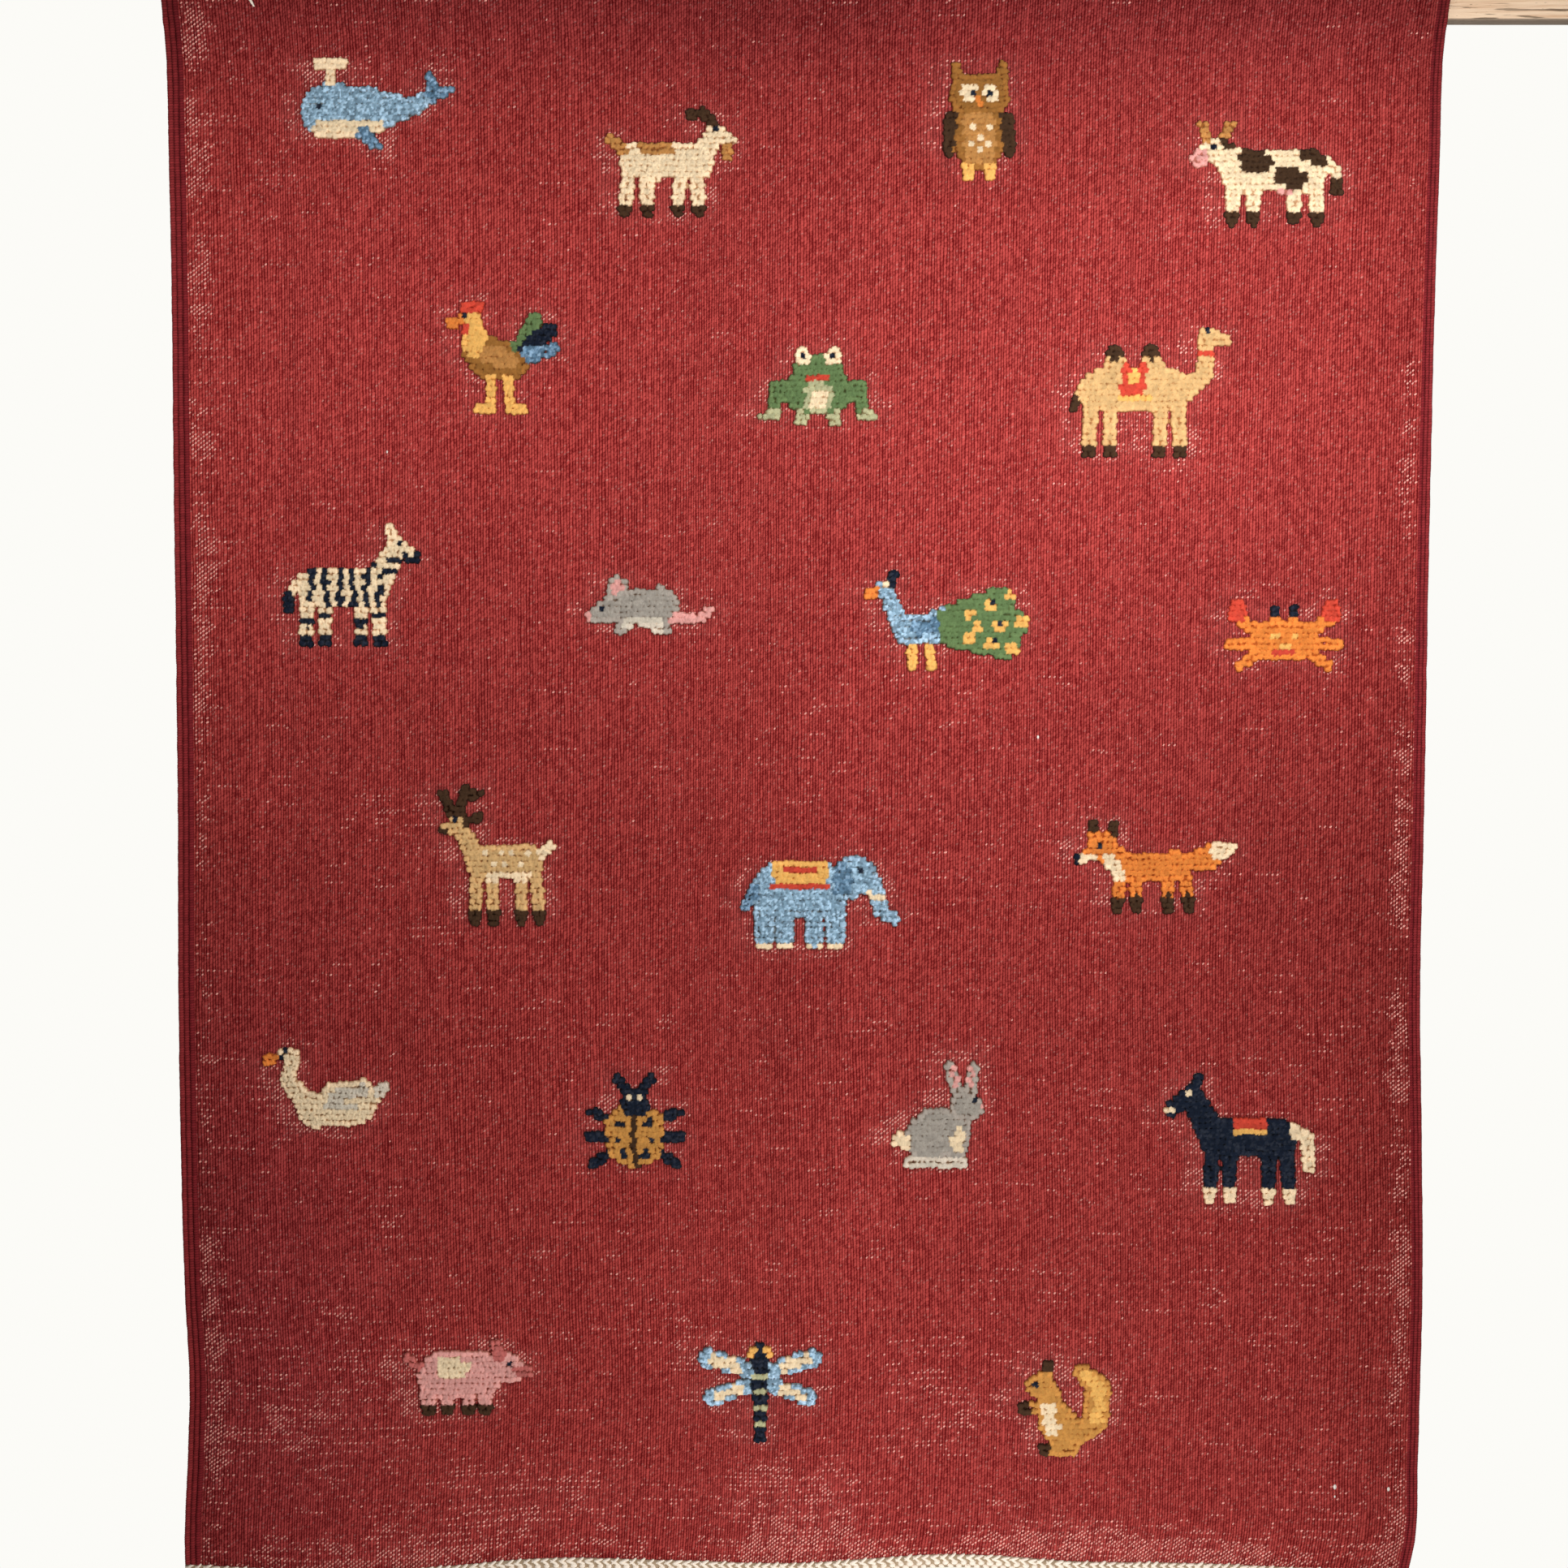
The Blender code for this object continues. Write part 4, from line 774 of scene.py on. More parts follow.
class Nodes:
    """A short way to write a material's node tree."""

    def __init__(self, name):
        self.material = bpy.data.materials.new(name)
        self.material.use_nodes = True
        self.tree = self.material.node_tree
        self.shader = self.tree.nodes["Principled BSDF"]

    def add(self, kind, **settings):
        """A new node with these settings."""
        node = self.tree.nodes.new("ShaderNode" + kind)
        for key, value in settings.items():
            setattr(node, key, value)
        return node

    def feed(self, socket, value):
        """Links an output to the socket, or sets the socket's own value."""
        value = value.socket if isinstance(value, Value) else value
        if isinstance(value, bpy.types.NodeSocket):
            self.tree.links.new(value, socket)
        else:
            socket.default_value = value

    def worked(self, node, values, output=0):
        """The node's output once its first inputs are fed with these values."""
        for socket, value in zip(node.inputs, values):
            self.feed(socket, value)
        return Value(self, node.outputs[output])

    def math(self, operation, *values, clamp=False):
        """One step of arithmetic."""
        return self.worked(self.add("Math", operation=operation, use_clamp=clamp), values)

    def ramp(self, value, low, high, to_low=0.0, to_high=1.0):
        """A smooth step of the value between low and high."""
        node = self.add("MapRange", interpolation_type="SMOOTHSTEP")
        return self.worked(node, (value, low, high, to_low, to_high))

    def attribute(self, name, output="Fac"):
        """A value that the mesh carries on its points."""
        return self.worked(self.add("Attribute", attribute_name=name), (), output)

    def mix(self, share, first, second, blend="MIX"):
        """A mix of two colours."""
        node = self.add("Mix", data_type="RGBA", blend_type=blend, clamp_factor=True)
        self.feed(node.inputs["Factor"], share)
        self.feed(node.inputs[6], first)
        self.feed(node.inputs[7], second)
        return node.outputs[2]

    def tint(self, colour, shares):
        """The colour with its red, green and blue multiplied."""
        return self.mix(1.0, colour, self.worked(self.add("CombineColor"), shares), "MULTIPLY")

    def combine(self, x, y, z=0.0):
        """A vector from three numbers."""
        return self.worked(self.add("CombineXYZ"), (x, y, z))

    def split(self, vector):
        """The three numbers of a vector."""
        node = self.add("SeparateXYZ")
        self.feed(node.inputs[0], vector)
        return [Value(self, output) for output in node.outputs]

    def random(self, *place):
        """A random number for each whole-numbered place."""
        node = self.add("TexWhiteNoise", noise_dimensions="3D")
        self.feed(node.inputs["Vector"], self.combine(*place))
        return Value(self, node.outputs["Value"])

    def noise(self, vector, detail=2.0, stretch=None, roughness=0.5):
        """A smooth noise from 0 to 1, after the vector's numbers are multiplied."""
        node = self.add("TexNoise")
        self.feed(node.inputs["Vector"], self.stretch(vector, stretch) if stretch else vector)
        node.inputs["Scale"].default_value = 1.0
        node.inputs["Detail"].default_value = detail
        node.inputs["Roughness"].default_value = roughness
        return Value(self, node.outputs["Fac"])

    def stretch(self, vector, scale):
        """The vector with each of its numbers multiplied."""
        return self.worked(self.add("VectorMath", operation="MULTIPLY"), (vector, scale))

    def object_place(self):
        """The place on the piece, in metres."""
        return self.add("TexCoord").outputs["Object"]

    def weave_place(self):
        """The piece's own count of warps and picks, or of cords and turns."""
        return self.add("UVMap", uv_map="weave").outputs[0]

    def bump(self, height, distance, strength=1.0):
        """Relief from a height, fed to the shader's normal."""
        node = self.add("Bump")
        self.feed(node.inputs["Height"], height)
        node.inputs["Distance"].default_value = distance
        node.inputs["Strength"].default_value = strength
        self.tree.links.new(node.outputs[0], self.shader.inputs["Normal"])

    def finish(self, colour, roughness, sheen=0.0, specular=0.2):
        """Colour and roughness may be linked; the rest stays on the shader's own sockets."""
        self.feed(self.shader.inputs["Base Color"], colour)
        self.feed(self.shader.inputs["Roughness"], roughness)
        self.shader.inputs["Specular IOR Level"].default_value = specular
        self.shader.inputs["Sheen Weight"].default_value = sheen
        self.shader.inputs["Sheen Roughness"].default_value = 0.6
        self.shader.inputs["Metallic"].default_value = 0.0
        return self.material


def ground_material(ground):
    """Weft-faced red wool, with painted shade down between the warps and between the grains.

    U counts warps and V counts picks. In each warp's rib the weft makes a grain every two
    picks, half a step off in the next rib. Between two grains of a rib the bare cotton shows
    in broken rows, which are longer and closer where the piece's own value "bare" is high.
    """
    n = Nodes("red wool ground")
    uv = n.weave_place()
    place = n.object_place()
    warp_at, pick_at, _ = n.split(uv)
    wander = n.noise(uv, 1.0, (0.55, 0.045, 1.0))
    warp_at = warp_at + (wander * 0.90 - 0.45)
    column = n.math("FLOOR", warp_at)
    odd = n.math("FLOORED_MODULO", column, 2.0)
    u = n.math("FRACT", warp_at) - 0.5
    step = odd * 0.5 + u * 0.30 + pick_at * 0.5
    gap_row = n.math("ROUND", step)
    g = n.math("FRACT", step)
    grain_seed = n.random(column, n.math("FLOOR", step), 1.0)
    gap_seed = n.random(column, gap_row, 5.0)

    from_middle = n.math("ABSOLUTE", u)
    rib = 1.0 - (from_middle * 2.0) ** 2.0
    swell = n.math("SINE", g * float(np.pi))
    height = rib * (swell * 0.50 + 0.50) * (grain_seed * 0.5 + 0.75)

    rows = n.noise(n.combine(warp_at * 0.050, (gap_row * 2.0 - odd) * 0.71))
    broken = n.ramp(n.noise(place, 1.0, (80.0, 20.0, 60.0)), 0.36, 0.55, 0.50, 1.0)
    bare = n.math("MINIMUM", n.attribute("bare") * broken, 0.78)
    chance = n.ramp(rows - (bare * -0.40 + 0.672), 0.0, 0.065, 0.004, 0.82)
    shows = n.math("LESS_THAN", gap_seed, chance)
    off_gap = 0.5 - n.math("ABSOLUTE", g - 0.5)
    reach = (from_middle * 2.15) ** 2.0 + (off_gap * 3.7) ** 2.0
    clear = n.math("FRACT", gap_seed * 97.0)
    clear = bare * 0.30 + (clear * clear * 0.55 + 0.38)
    spot = n.math("MULTIPLY", n.ramp(reach, 1.0, 0.45) * shows, clear, clamp=True)

    along = n.combine(n.math("ROUND", warp_at) * 5.31, pick_at * 0.022)
    drawn = n.ramp(n.noise(along, 3.0), 0.36, 0.64, 0.62, 1.0)
    # Painted shade: this mask darkens the red towards the groove colour between two warps.
    shaded_groove = n.ramp(from_middle, 0.14, 0.46) * drawn
    hairs = n.noise(place, 1.0, (760.0, 60.0, 640.0))
    # lit mixes the lit ridge red with the painted shade of the groove; each grain's ends take a little
    # more painted shade.
    lit = shaded_groove * -0.78 + 0.79 + n.ramp(swell, 0.80, 0.10) * -0.20 + (grain_seed * 0.56 - 0.28)
    lit = n.math("ADD", lit, hairs * 1.10 - 0.55, clamp=True)
    colour = n.mix(lit, rgba(ground.shaded_groove), rgba(ground.ridge))
    glint = n.ramp(reach, 1.0, 0.25) * n.math("GREATER_THAN", gap_seed, 0.86)
    colour = n.mix(glint * 0.20, colour, rgba(ground.warp))

    column_tone = n.random(column, 3.0, 2.0) * 0.09 + 0.955
    pick_tone = n.random(n.math("FLOOR", pick_at * 0.5), 7.0, 3.0) * 0.06 + 0.97
    tone = column_tone * pick_tone * n.attribute("tone")
    colour = n.tint(colour, (tone, tone, tone * n.attribute("cool")))
    colour = n.mix(n.attribute("haze"), colour, WORN_WOOL)
    colour = n.mix(spot, colour, rgba(ground.warp))

    fleck = 0.0
    for f in FLECKS:
        away = n.add("VectorMath", operation="DISTANCE")
        n.feed(away.inputs[0], n.stretch(place, (1.25, 0.0, 0.80)))
        away.inputs[1].default_value = (1.25 * f.across, 0.0, 0.80 * (CLOTH_TOP - f.down))
        here = n.ramp(away.outputs["Value"], f.size, 0.5 * f.size)
        fleck = n.math("MAXIMUM", fleck, here)
    colour = n.mix(fleck, colour, FLECK_COTTON)

    n.bump(height + spot * -0.25, 0.00070, 1.0)
    return n.finish(colour, 0.95, specular=0.03)


def beside_figures(x, z):
    """How close a point is to a figure, from 0 to 1, reaching further to the left of it."""
    close = np.zeros(x.shape)
    for place in PLACES:
        middle = CLOTH_TOP - place.down
        here = (np.abs(x - place.across) < 0.135) & (np.abs(z - middle) < 0.095)
        best = np.full(int(here.sum()), -1.0)
        for shift in (0.022, 0.011, 0.0, -0.010):
            across = x[here] - place.across + shift
            inside = inside_by(across, z[here] - middle, FIGURES[place.figure], place.faces)
            best = np.maximum(best, inside - 0.25 * abs(shift))
        close[here] = np.maximum(close[here], bell(np.clip(-best, 0, 1) / 0.0055))
    return close


def cloth_wear_and_shade(x, down, from_left, from_right, front):
    """The values the ground's material reads: bare warp, haze, tone with painted shade, and coolness.

    bare is highest in a band beside each selvedge, on the face beside the figures and along
    the lower end; haze is a faint whitening low down.
    """
    z = CLOTH_TOP - down
    close = beside_figures(x, z) * front
    patches = mottle(x, z, 0.030, 0.014, 11)
    broad = mottle(x, z, 0.130, 0.075, 12)
    streaks = mottle(x, z, 0.007, 0.160, 13)
    along_left = mottle(0.0 * z, z, 1.0, 0.042, 14)
    along_right = mottle(0.0 * z, z, 1.0, 0.035, 15)
    low = down / CLOTH_LENGTH
    bare = 0.13 * between(broad, 0.50, 0.80) + 0.17 * low**2

    left_band = (1.10 - 0.60 * low) * (0.22 + 1.00 * along_left)
    left_middle = 0.011 + 0.005 * soft_noise(0.0 * z, z, 1.0, 0.024, 16)
    left_reach = 0.006 + 0.008 * along_left
    bare += left_band * bell((from_left - left_middle) / left_reach)
    right_band = between(along_right + 0.90 * low, 0.72, 1.07)
    bare += 0.75 * right_band * bell((from_right - 0.011) / 0.010)

    bare += 0.16 * bell((x + 0.50) / 0.16, (down - 0.12) / 0.16)
    bare -= 0.17 * bell((x - 0.42) / 0.30, (down - 0.20) / 0.30)
    bare += (0.15 + 0.60 * patches) * close
    bare += (0.28 + 0.75 * broad) * bell((CLOTH_LENGTH - down) / 0.026)
    bare += 0.46 * between(low, 0.74, 0.98) * between(broad, 0.35, 0.75) * patches
    bare += 0.30 * bell(down / 0.030) * patches

    haze = 0.02 * between(low, 0.86, 1.00) * between(broad, 0.40, 0.80) + 0.04 * close
    # tone: random streaks and patches, then the TONES spots with their painted shade at the top and on
    # a fold.
    tone = 0.995 + 0.06 * (streaks - 0.5) + 0.05 * (broad - 0.5)
    for spot in TONES:
        sideways = (x - spot.across) / spot.half_width
        tone += spot.change * bell(sideways, (down - spot.down) / spot.half_height)
    cool = 1.015 + 0.16 * bell((x + 0.56) / 0.15, (down - 1.28) / 0.36)
    cool += 0.09 * bell(down / 0.085)
    return {"bare": bare, "haze": haze, "tone": tone, "cool": cool}


def cloth_side(shares, columns, spread, side, ribs):
    """Points of one face of the cloth.

    x runs between the selvedges, z from the top to the lower end, and y is the middle of
    the cloth plus half its thickness, less rib_depth * (1 - |cos(pi * warp)|) between warps.
    """
    t, u = np.meshgrid(shares, spread, indexing="ij")
    down = t * CLOTH_LENGTH
    x = cloth_across(u, down)
    z = height_at(x, t)
    dip = ribs * columns[None, :] * (1.0 + 0.35 * soft_noise(x, z, 0.004, 0.040, 21))
    ripple = 0.00030 * soft_noise(x, z, 0.035, 0.050, 22) * np.clip(down / 0.10 - 0.4, 0, 1)
    y = depth_at(x, z) + side * (CLOTH_THICKNESS / 2 - dip) + ripple
    left = cloth_across(0.0, down)
    right = cloth_across(1.0, down)
    wear_and_shade = cloth_wear_and_shade(x, down, x - left, right - x, side < 0)
    points = np.stack((x, y, z), axis=-1).reshape(-1, 3)
    return points, {key: value.ravel() for key, value in wear_and_shade.items()}, down


class RUG_OT_weave_ground(Operator):
    """Weave the red field between the selvedges"""
    bl_idname = "rug.weave_ground"
    bl_label = "Weave ground"

    def execute(self, context):
        ground = context.scene.rug_ground
        rows, back_step = 99, (2, 4)
        steps = 2 * ground.warps
        rng = np.random.default_rng(31)
        pitch = 1.0 + 0.10 * soft_noise(np.arange(steps), 0.0, 40.0, 1.0, 32)
        pitch = pitch + rng.uniform(-0.10, 0.10, steps)
        spread = np.concatenate(([0.0], np.cumsum(pitch)))
        spread = spread / spread[-1]
        valley = (np.arange(steps + 1) % 2 == 0).astype(float)
        shares = np.linspace(0.0, 1.0, rows)
        front, wear_and_shade, down = cloth_side(shares, valley, spread, -1, ground.rib_depth)
        back_shares = shares[:: back_step[0]]
        back_spread = spread[:: back_step[1]]
        flat = np.zeros(len(back_spread))
        back, back_wear_and_shade, back_down = cloth_side(back_shares, flat, back_spread, 1, 0.0)
        columns, back_rows, back_columns = steps + 1, len(back_shares), len(back_spread)
        start = len(front)
        points = np.concatenate((front, back))
        values = {key: np.concatenate((wear_and_shade[key], back_wear_and_shade[key])) for key in wear_and_shade}
        warp_at = np.arange(columns) / 2.0
        front_uv = np.stack(np.broadcast_arrays(warp_at[None, :], down / ground.pick), axis=-1)
        back_uv = np.stack(
            np.broadcast_arrays(warp_at[None, :: back_step[1]], back_down / ground.pick), axis=-1
        )
        uv = np.concatenate((front_uv.reshape(-1, 2), back_uv.reshape(-1, 2)))
        faces = [
            grid_faces(rows, columns, flip=True),
            grid_faces(back_rows, back_columns, start),
        ]
        faces += self.rims(rows, columns, back_rows, back_columns, back_step, start)
        material = ground_material(ground)
        cloth = put_mesh("red_ground", points, faces, material, values, uv)
        hand_over(cloth, "rug_cloth")
        return {"FINISHED"}

    def rims(self, rows, columns, back_rows, back_columns, step, start):
        """Faces that join the two sides round the cloth's edge, one to a step of the back."""
        across = np.arange(back_columns - 1)
        along = np.arange(back_rows - 1)
        offsets = np.arange(step[1] + 1)
        top = step[1] * across[:, None] + offsets[None, :]
        top_back = start + across[:, None] + np.array([1, 0])
        low = (rows - 1) * columns
        low_back = (back_rows - 1) * back_columns
        offsets = np.arange(step[0] + 1)
        side = (step[0] * along[:, None] + offsets[None, :]) * columns
        side_back = start + (along[:, None] + np.array([1, 0])) * back_columns
        right, right_back = side + columns - 1, side_back + back_columns - 1
        return [
            np.hstack((top, top_back)),
            np.hstack((top + low, top_back + low_back))[:, ::-1],
            np.hstack((side, side_back))[:, ::-1],
            np.hstack((right, right_back)),
        ]


def cord_material(edges):
    """Wool wrapped round cords: V counts turns, so each turn has its own tone and relief, with painted
    shade in the grooves between turns.
    """
    n = Nodes("wrapped red wool")
    cord, turns, _ = n.split(n.weave_place())
    seed = n.random(n.math("FLOOR", turns), n.math("FLOOR", cord * 1.001), 4.0)
    shaded_groove = n.ramp(n.math("ABSOLUTE", n.math("FRACT", turns) - 0.5), 0.22, 0.50)
    fibre = n.noise(n.object_place(), 2.0, (900.0, 900.0, 2400.0))
    colour = n.mix(n.attribute("outermost"), rgba(edges.inner), rgba(edges.outer))
    # Painted shade: the groove between two turns darkens the wool, and the shade value darkens the
    # flanks that face away and the top by the bar.
    shade = (seed * 0.30 + 0.82) * (fibre * 0.30 + 0.85) * (shaded_groove * -0.42 + 1.0)
    shade = shade * n.attribute("shade")
    colour = n.tint(colour, (shade, shade, shade))
    n.bump(shaded_groove * -0.8 + fibre, 0.0003, 0.8)
    return n.finish(colour, 0.95, specular=0.03)


def tube_points(x, y, z):
    """The points of a tube's rings in order, then the middles of its first and last ring."""
    rings = np.stack(np.broadcast_arrays(x, y, z), axis=-1)
    ends = np.array([rings[0].mean(axis=0), rings[-1].mean(axis=0)])
    return np.concatenate((rings.reshape(-1, 3), ends))


def tube_faces(rings, sides, start=0):
    """Quads round a tube whose rings are stored in order, and triangles to its two end points."""
    quads = grid_faces(rings, sides, start, round_columns=True)
    first, last = start + rings * sides, start + rings * sides + 1
    j = np.arange(sides)
    k = (j + 1) % sides
    low = start + (rings - 1) * sides
    cap = np.stack((start + k, start + j, np.full(sides, first)), axis=-1)
    end = np.stack((low + j, low + k, np.full(sides, last)), axis=-1)
    return [quads, cap, end]


class RUG_OT_wrap_selvedges(Operator):
    """Wrap the side cords with red wool"""
    bl_idname = "rug.wrap_selvedges"
    bl_label = "Wrap selvedges"

    def execute(self, context):
        edges = context.scene.rug_edges
        material = cord_material(edges)
        for side in ("left", "right"):
            points, faces, values, uv = self.cords(side, edges)
            cord = put_mesh("wrapped_cords_" + side, points, faces, material, values, uv)
            hand_over(cord, "selvedge_" + side)
        return {"FINISHED"}

    def cords(self, side, edges):
        """Three tubes side by side.

        A ring lies round the cord's middle with half width w and half depth d, both times
        1 - 0.10 * |cos(pi * (turns + angle / 2 pi))|, so that every turn of yarn stands out.
        """
        sides = 9
        turns = CLOTH_LENGTH / edges.wrap
        rings = int(2 * turns)
        t = np.linspace(0.0, 1.0, rings)
        angle = np.arange(sides) * 2 * np.pi / sides
        width = SELVEDGE_WIDTH[side] / edges.cords
        deep = CORD_BULGE_SHARE * width + CLOTH_THICKNESS / 4
        points, faces, dye, shade, uv = [], [], [], [], []
        for cord in range(edges.cords):
            down = t * CLOTH_LENGTH
            wobble = 0.00022 * soft_noise(down, cord, 0.012, 1.0, 41)
            outer = edge_at(down, side)
            x = outer + INWARD[side] * ((cord + 0.5) * width + wobble)
            z = height_at(x, t)
            y = depth_at(x, z)
            turn = t[:, None] * turns + angle[None, :] / (2 * np.pi)
            size = 1.0 - 0.10 * np.abs(np.cos(np.pi * turn))
            size = size * (1.0 + 0.05 * soft_noise(turn, cord, 1.0, 1.0, 42))
            px = x[:, None] + 0.60 * width * size * np.cos(angle)
            py = y[:, None] + deep * size * np.sin(angle)
            py = np.where(down[:, None] < CORDS_ON_BAR_TO, np.minimum(py, BAR_FACE), py)
            faces += tube_faces(rings, sides, sum(len(p) for p in points))
            points.append(tube_points(px, py, z[:, None]))
            place = np.stack(np.broadcast_arrays(cord + 0.5 + 0.0 * turn, turn), axis=-1)
            uv.append(np.concatenate((place.reshape(-1, 2), np.zeros((2, 2)))))
            dye.append(np.full(len(points[-1]), 1.0 - cord / (edges.cords - 1)))
            # Painted shade: flanks facing away from the front are dimmer, while the outer flank of the
            # outermost cord stays light.
            facing = 0.5 - 0.5 * np.sin(angle)
            dim = 0.62 + 0.38 * between(facing, 0.70, 0.95)
            if cord == 0:
                dim = np.where(INWARD[side] * np.cos(angle) < -0.1, 0.95, dim)
            # Painted shade, darker near the top by the bar.
            top = 1.0 - 0.30 * bell(down / 0.085)
            shade.append(np.concatenate(((top[:, None] * dim).ravel(), (1.0, 1.0))))
        values = {"outermost": np.concatenate(dye), "shade": np.concatenate(shade)}
        return np.concatenate(points), faces, values, np.concatenate(uv)


def cotton_material(edges):
    """Undyed cotton: pale on the crowns, with painted shade in brown-grey on the sides and where the
    loops meet.
    """
    n = Nodes("cotton end finish")
    place = n.object_place()
    strands = n.noise(place, 3.0, (1100.0, 1100.0, 700.0))
    blotch = n.noise(place, 2.0, (45.0, 45.0, 60.0))
    # Painted shade: the shadow colour takes over where the crown value falls, away from the front of
    # each loop and behind them.
    shadow = (0.350, 0.250, 0.155, 1.0)
    colour = n.mix(n.ramp(n.attribute("crown"), 0.0, 0.48), shadow, rgba(edges.cotton))
    colour = n.mix(n.ramp(blotch, 0.45, 0.75, 0.0, 0.16), colour, (0.82, 0.66, 0.52, 1.0))
    colour = n.mix(n.ramp(strands, 0.60, 0.35, 0.0, 0.20), colour, (0.66, 0.50, 0.38, 1.0))
    n.bump(strands, 0.0005, 0.8)
    return n.finish(colour, 0.88, sheen=0.08, specular=0.2)


def lumps(middles, along, radii, rings, sides, seed):
    """Closed rounded lumps, one to a row of the arrays.

    Ring v of a lump stands at -cos(pi v) times its half length along its axis, with radius
    sin(pi v) ^ 0.8, flattened to the second and third radius.
    """
    count = len(middles)
    rng = np.random.default_rng(seed)
    v = (np.arange(rings) + 1.0) / (rings + 1.0)
    a = np.arange(sides) * 2 * np.pi / sides
    reach = -np.cos(np.pi * v)[:, None] * np.ones(sides)
    wide = np.sin(np.pi * v)[:, None] ** 0.8
    unit = np.stack((reach, wide * np.cos(a), wide * np.sin(a)), axis=-1).reshape(-1, 3)
    unit = np.concatenate((unit, ((-1.0, 0.0, 0.0), (1.0, 0.0, 0.0))))
    size = radii[:, None, :] * rng.uniform(0.88, 1.10, (count, 1, 3))
    local = unit[None, :, :] * size
    local = local * rng.uniform(0.93, 1.07, local.shape)
    axis = along / np.linalg.norm(along, axis=1, keepdims=True)
    out = np.array((0.0, -1.0, 0.0))
    across = np.cross(axis, out)
    across = across / np.linalg.norm(across, axis=1, keepdims=True)
    proud = np.cross(across, axis)
    points = middles[:, None, :]
    points = points + local[:, :, 0:1] * axis[:, None, :]
    points = points + local[:, :, 1:2] * across[:, None, :]
    points = points + local[:, :, 2:3] * proud[:, None, :]
    # crown: how far each point faces the front, from which the cotton paints shade on the sides and
    # backs.
    crown = np.tile(np.concatenate((0.5 + 0.5 * (wide * np.sin(a)).ravel(), (0.25, 0.25))), count)
    one = tube_faces(rings, sides)
    starts = np.arange(count) * len(unit)
    faces = [(f[None, :, :] + starts[:, None, None]).reshape(-1, f.shape[1]) for f in one]
    return points.reshape(-1, 3), faces, crown


def join(parts):
    """One set of points, faces and values from several."""
    points, faces, crowns, start = [], [], [], 0
    for part_points, part_faces, crown in parts:
        points.append(part_points)
        faces += [np.asarray(f) + start for f in part_faces]
        crowns.append(crown)
        start += len(part_points)
    return np.concatenate(points), faces, np.concatenate(crowns)


def strip(x, fell, outward, on_bar):
    """A thin closed band behind the loops: a flat profile carried along the cloth's end."""
    profile = np.array(((0.0012, 0.0006), (-0.0016, 0.0006), (-0.0016, 0.0128), (0.0012, 0.0128)))
    middle = depth_at(x, fell)
    y = middle[:, None] + profile[None, :, 0]
    if on_bar:
        y = np.minimum(y, BAR_FACE)
    z = fell[:, None] + outward * profile[None, :, 1]
    faces = tube_faces(len(x), 4)
    if outward < 0:
        faces = [f[:, ::-1] for f in faces]
    # The strip's back corners have no crown, so they take the cotton's painted shade in full.
    crown = np.append(np.tile((0.40, 0.0, 0.0, 0.40), len(x)), (0.2, 0.2))
    return tube_points(x[:, None], y, z), faces, crown


